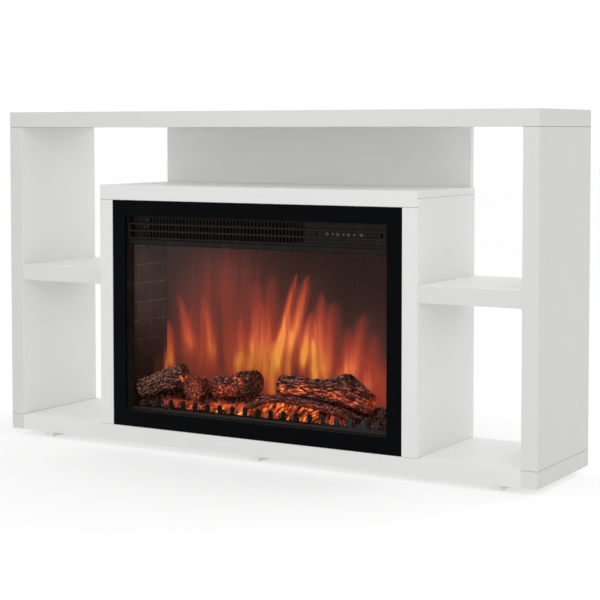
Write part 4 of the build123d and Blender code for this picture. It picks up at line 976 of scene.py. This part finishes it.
def build_embers():
    """The ember bed: one lumpy skin that climbs from the grate to the screen."""
    material = glowing_embers()
    low, high = BED_LOW, BED_HIGH
    across, up = 620, 120
    width, deep = high.x - low.x, high.y - low.y
    # The bed's profile from the foot of its front face to the screen: (depth into the bed, height).
    profile = [(0.001, 0.0), (0.001, 0.035), (0.023, 0.049), (0.073, 0.061), (deep - 0.001, 0.065)]
    lump_span, twig_span = (0.026, 0.030), (0.007, 0.034)
    runs = [sqrt((b[0] - a[0]) ** 2 + (b[1] - a[1]) ** 2) for a, b in zip(profile, profile[1:])]
    total = sum(runs)
    bm = bmesh.new()
    layer = bm.verts.layers.float.new("furrow")

    def surface(x_share, s):
        """A point of the bed, and how deep in a crack it is. s is the share of the profile behind it."""
        left = s * total
        k = 0
        while k < len(runs) - 1 and left > runs[k]:
            left -= runs[k]
            k += 1
        (y0, z0), (y1, z1) = profile[k], profile[k + 1]
        t = min(1.0, left / runs[k])
        into, height = y0 + (y1 - y0) * t, z0 + (z1 - z0) * t
        base = Vector((low.x + width * x_share, low.y + into, low.z + height))
        run = s * total
        # Outwards is forwards on the front face, and turns upwards round its top edge.
        turn = min(1.0, max(0.0, (run - 0.030) / 0.020))
        out = Vector((0, turn - 1, 0.25 + turn)).normalized()
        cell = Vector((base.x / lump_span[0], run / lump_span[1], 0.3))
        cell += 0.35 * noise.noise_vector(cell * 0.9)
        near = noise.voronoi(cell)[0]
        lump = 1 - min(1.0, near[0] / 0.8)
        crack = max(0.0, 1 - (near[1] - near[0]) / 0.38)
        twig = Vector((base.x / twig_span[0], run / twig_span[1], 7.1))
        twig += 0.4 * noise.noise_vector(cell * 2)
        split = noise.voronoi(twig)[0]
        ridge = max(0.0, 1 - (split[1] - split[0]) / 0.45)
        fine = noise.noise(base * 230)
        fade = min(1.0, min(x_share, 1 - x_share) * 60)
        lift = fade * (0.0105 * lump - 0.0030 * ridge + 0.0014 * fine - 0.002 * crack)
        return base + out * lift, min(1.0, 0.7 * crack + 0.55 * ridge)

    grid = []
    for j in range(up + 1):
        row = []
        for i in range(across + 1):
            co, crack = surface(i / across, j / up)
            co.y = min(co.y, high.y)
            co.z = max(co.z, low.z)
            v = bm.verts.new(co)
            v[layer] = crack
            row.append(v)
        grid.append(row)
    for a, b in zip(grid, grid[1:]):
        for i in range(across):
            bm.faces.new((a[i], a[i + 1], b[i + 1], b[i]))
    # Close the bed with a flat underside and two flat ends.
    back = [bm.verts.new((v.co.x, v.co.y, low.z)) for v in grid[-1]]
    for i in range(across):
        bm.faces.new((grid[-1][i], grid[-1][i + 1], back[i + 1], back[i]))
    bm.faces.new([*grid[0][::-1], *back])
    for i, column in ((0, [row[0] for row in grid]), (across, [row[-1] for row in grid])):
        bm.faces.new([*column, back[i]])
    bmesh.ops.recalc_face_normals(bm, faces=bm.faces)
    finish_mesh("glowing_ember_bed", bm, material, "console", ["ember_bed"])


# ---- Materials on the CAD pieces ----


def dress(material, *names):
    for name in names:
        mesh = NODES[name].data
        mesh.materials.clear()
        mesh.materials.append(material)


def dress_cad():
    endings = ("_board", "_panel", "_shelf", "_divider", "_stile", "_rail")
    others = ("control_board", "control_panel", "left_brick_panel", "right_brick_panel")
    boards = [name for name in NODES if name.endswith(endings) and name not in others]
    dress(white_board(), *boards)
    dress(black_trim(), "trim_frame")
    fascia = moulded_plastic("fascia_plastic", srgb(24, 20, 17), srgb(54, 50, 46), 0.5)
    dress(fascia, "inner_fascia", "louvre_frame", "outlet_grille", "control_panel")
    switch = moulded_plastic("switch_plastic", srgb(12, 12, 13), srgb(30, 30, 32), 0.38)
    dress(switch, "rocker_switch", "switch_body", "cord_gland")
    nylon = moulded_plastic("natural_nylon", srgb(206, 202, 188), srgb(224, 221, 210), 0.42)
    dress(nylon, "rotor_bush", "terminal_block")
    dress(push_button(), "flame_button", "low_heat_button", "high_heat_button")
    dress(dark_lens(), "panel_lenses")
    dress(window_glass(), "front_glass")
    dress(brick_print(), "left_brick_panel", "right_brick_panel")
    dress(flame_picture(), "flame_screen")
    dress(grate_iron(), "front_grate")
    galvanised = sheet_steel("galvanised_sheet", srgb(136, 138, 139), srgb(158, 160, 160), 0.9)
    dress(galvanised, "housing_shell", "top_cover", "back_cover", "mounting_brackets", "flame_mask")
    dark_sheet = sheet_steel("dark_sheet", srgb(16, 15, 15), srgb(28, 27, 26), 0.2)
    dress(dark_sheet, "firebox_ceiling", "fan_scroll")
    dress(plated_steel(), "bottom_screws", "cam_locks", "cover_screws")
    dress(bright_foil(), "flame_rotor")
    dress(blackened_aluminium(), "fan_impeller", "heating_element")
    varnish = sheet_steel("motor_laminations", srgb(58, 60, 66), srgb(84, 86, 90), 0.6)
    dress(varnish, "fan_motor", "flame_motor")
    dress(circuit_board(), "control_board", "led_strips")
    dress(rubber_jacket(), "internal_cable")


# ---- Floor, light and camera ----


def build_floor():
    material, g, shader = new_material("pale_floor", Roughness=0.9, Specular_IOR_Level=0.0)
    g.feed(shader["Base Color"], g.ramp(g.noise(0.8, 3), [(0.3, 0.63), (0.7, 0.65)]))
    shader["Emission Color"].default_value = (1, 1, 1, 1)
    shader["Emission Strength"].default_value = 0.40
    bm = bmesh.new()
    bmesh.ops.create_grid(bm, x_segments=8, y_segments=8, size=30)
    mesh = bpy.data.meshes.new("floor")
    bm.to_mesh(mesh)
    bm.free()
    mesh.materials.append(material)
    floor = bpy.data.objects.new("floor", mesh)
    bpy.context.scene.collection.objects.link(floor)


def area_light(name, place, aim, size, power, colour=(1, 1, 1)):
    light = bpy.data.lights.new(name, "AREA")
    light.shape = "RECTANGLE"
    light.size, light.size_y = size
    light.energy = power
    light.color = colour
    lamp = bpy.data.objects.new(name, light)
    lamp.location = place
    lamp.rotation_euler = (Vector(aim) - Vector(place)).to_track_quat("-Z", "Y").to_euler()
    lamp.visible_camera = False
    lamp.visible_glossy = False
    bpy.context.scene.collection.objects.link(lamp)


def build_light():
    world = bpy.data.worlds.new("studio")
    world.use_nodes = True
    bpy.context.scene.world = world
    g = Graph(world.node_tree)
    background = world.node_tree.nodes["Background"]
    background.inputs["Color"].default_value = (1, 1, 1, 1)
    seen = g.add("LightPath").outputs["Is Camera Ray"]
    g.feed(background.inputs["Strength"], g.spread(seen, 0, 1, 0.92, 1.02))
    middle = (CAD_BOX[0] + CAD_BOX[1]) / 2
    area_light("key", (2.0, -3.0, 1.9), middle, (1.4, 1.2), 14)
    area_light("back_fill", (2.2, 2.8, 1.8), middle, (2.0, 1.4), 15)
    # The heater's own light: embers under the logs.
    ember = (BED_LOW.x * 0.05, BED_LOW.y - 0.002, BED_LOW.z + 0.05)
    aim = (ember[0], BED_HIGH.y, BED_HIGH.z + 0.05)
    area_light("ember_glow", ember, aim, (0.5, 0.02), 0.2, (1.0, 0.28, 0.06))


def build_camera():
    """The view is from the right of the front, a little above the console, with a long lens."""
    camera = bpy.data.cameras.new("camera")
    camera.lens = 98.3
    camera.sensor_width = 36
    camera.shift_y = -0.1417
    camera.clip_end = 100
    holder = bpy.data.objects.new("camera", camera)
    turn_left, tilt_down = radians(30.683), radians(2.918)
    holder.location = (1.9823, FRONT_Y - 3.1174, 0.7527)
    holder.rotation_euler = (radians(90) - tilt_down, 0, turn_left)
    bpy.context.scene.collection.objects.link(holder)
    bpy.context.scene.camera = holder
    bpy.context.scene.view_settings.view_transform = "Standard"


# Blender takes the seed of noise_vector from the clock unless it is set, and the bark would change with it.
noise.seed_set(1)
build_camera()
glow_group()
dress_cad()
build_logs()
build_branch()
build_embers()
build_floor()
build_light()
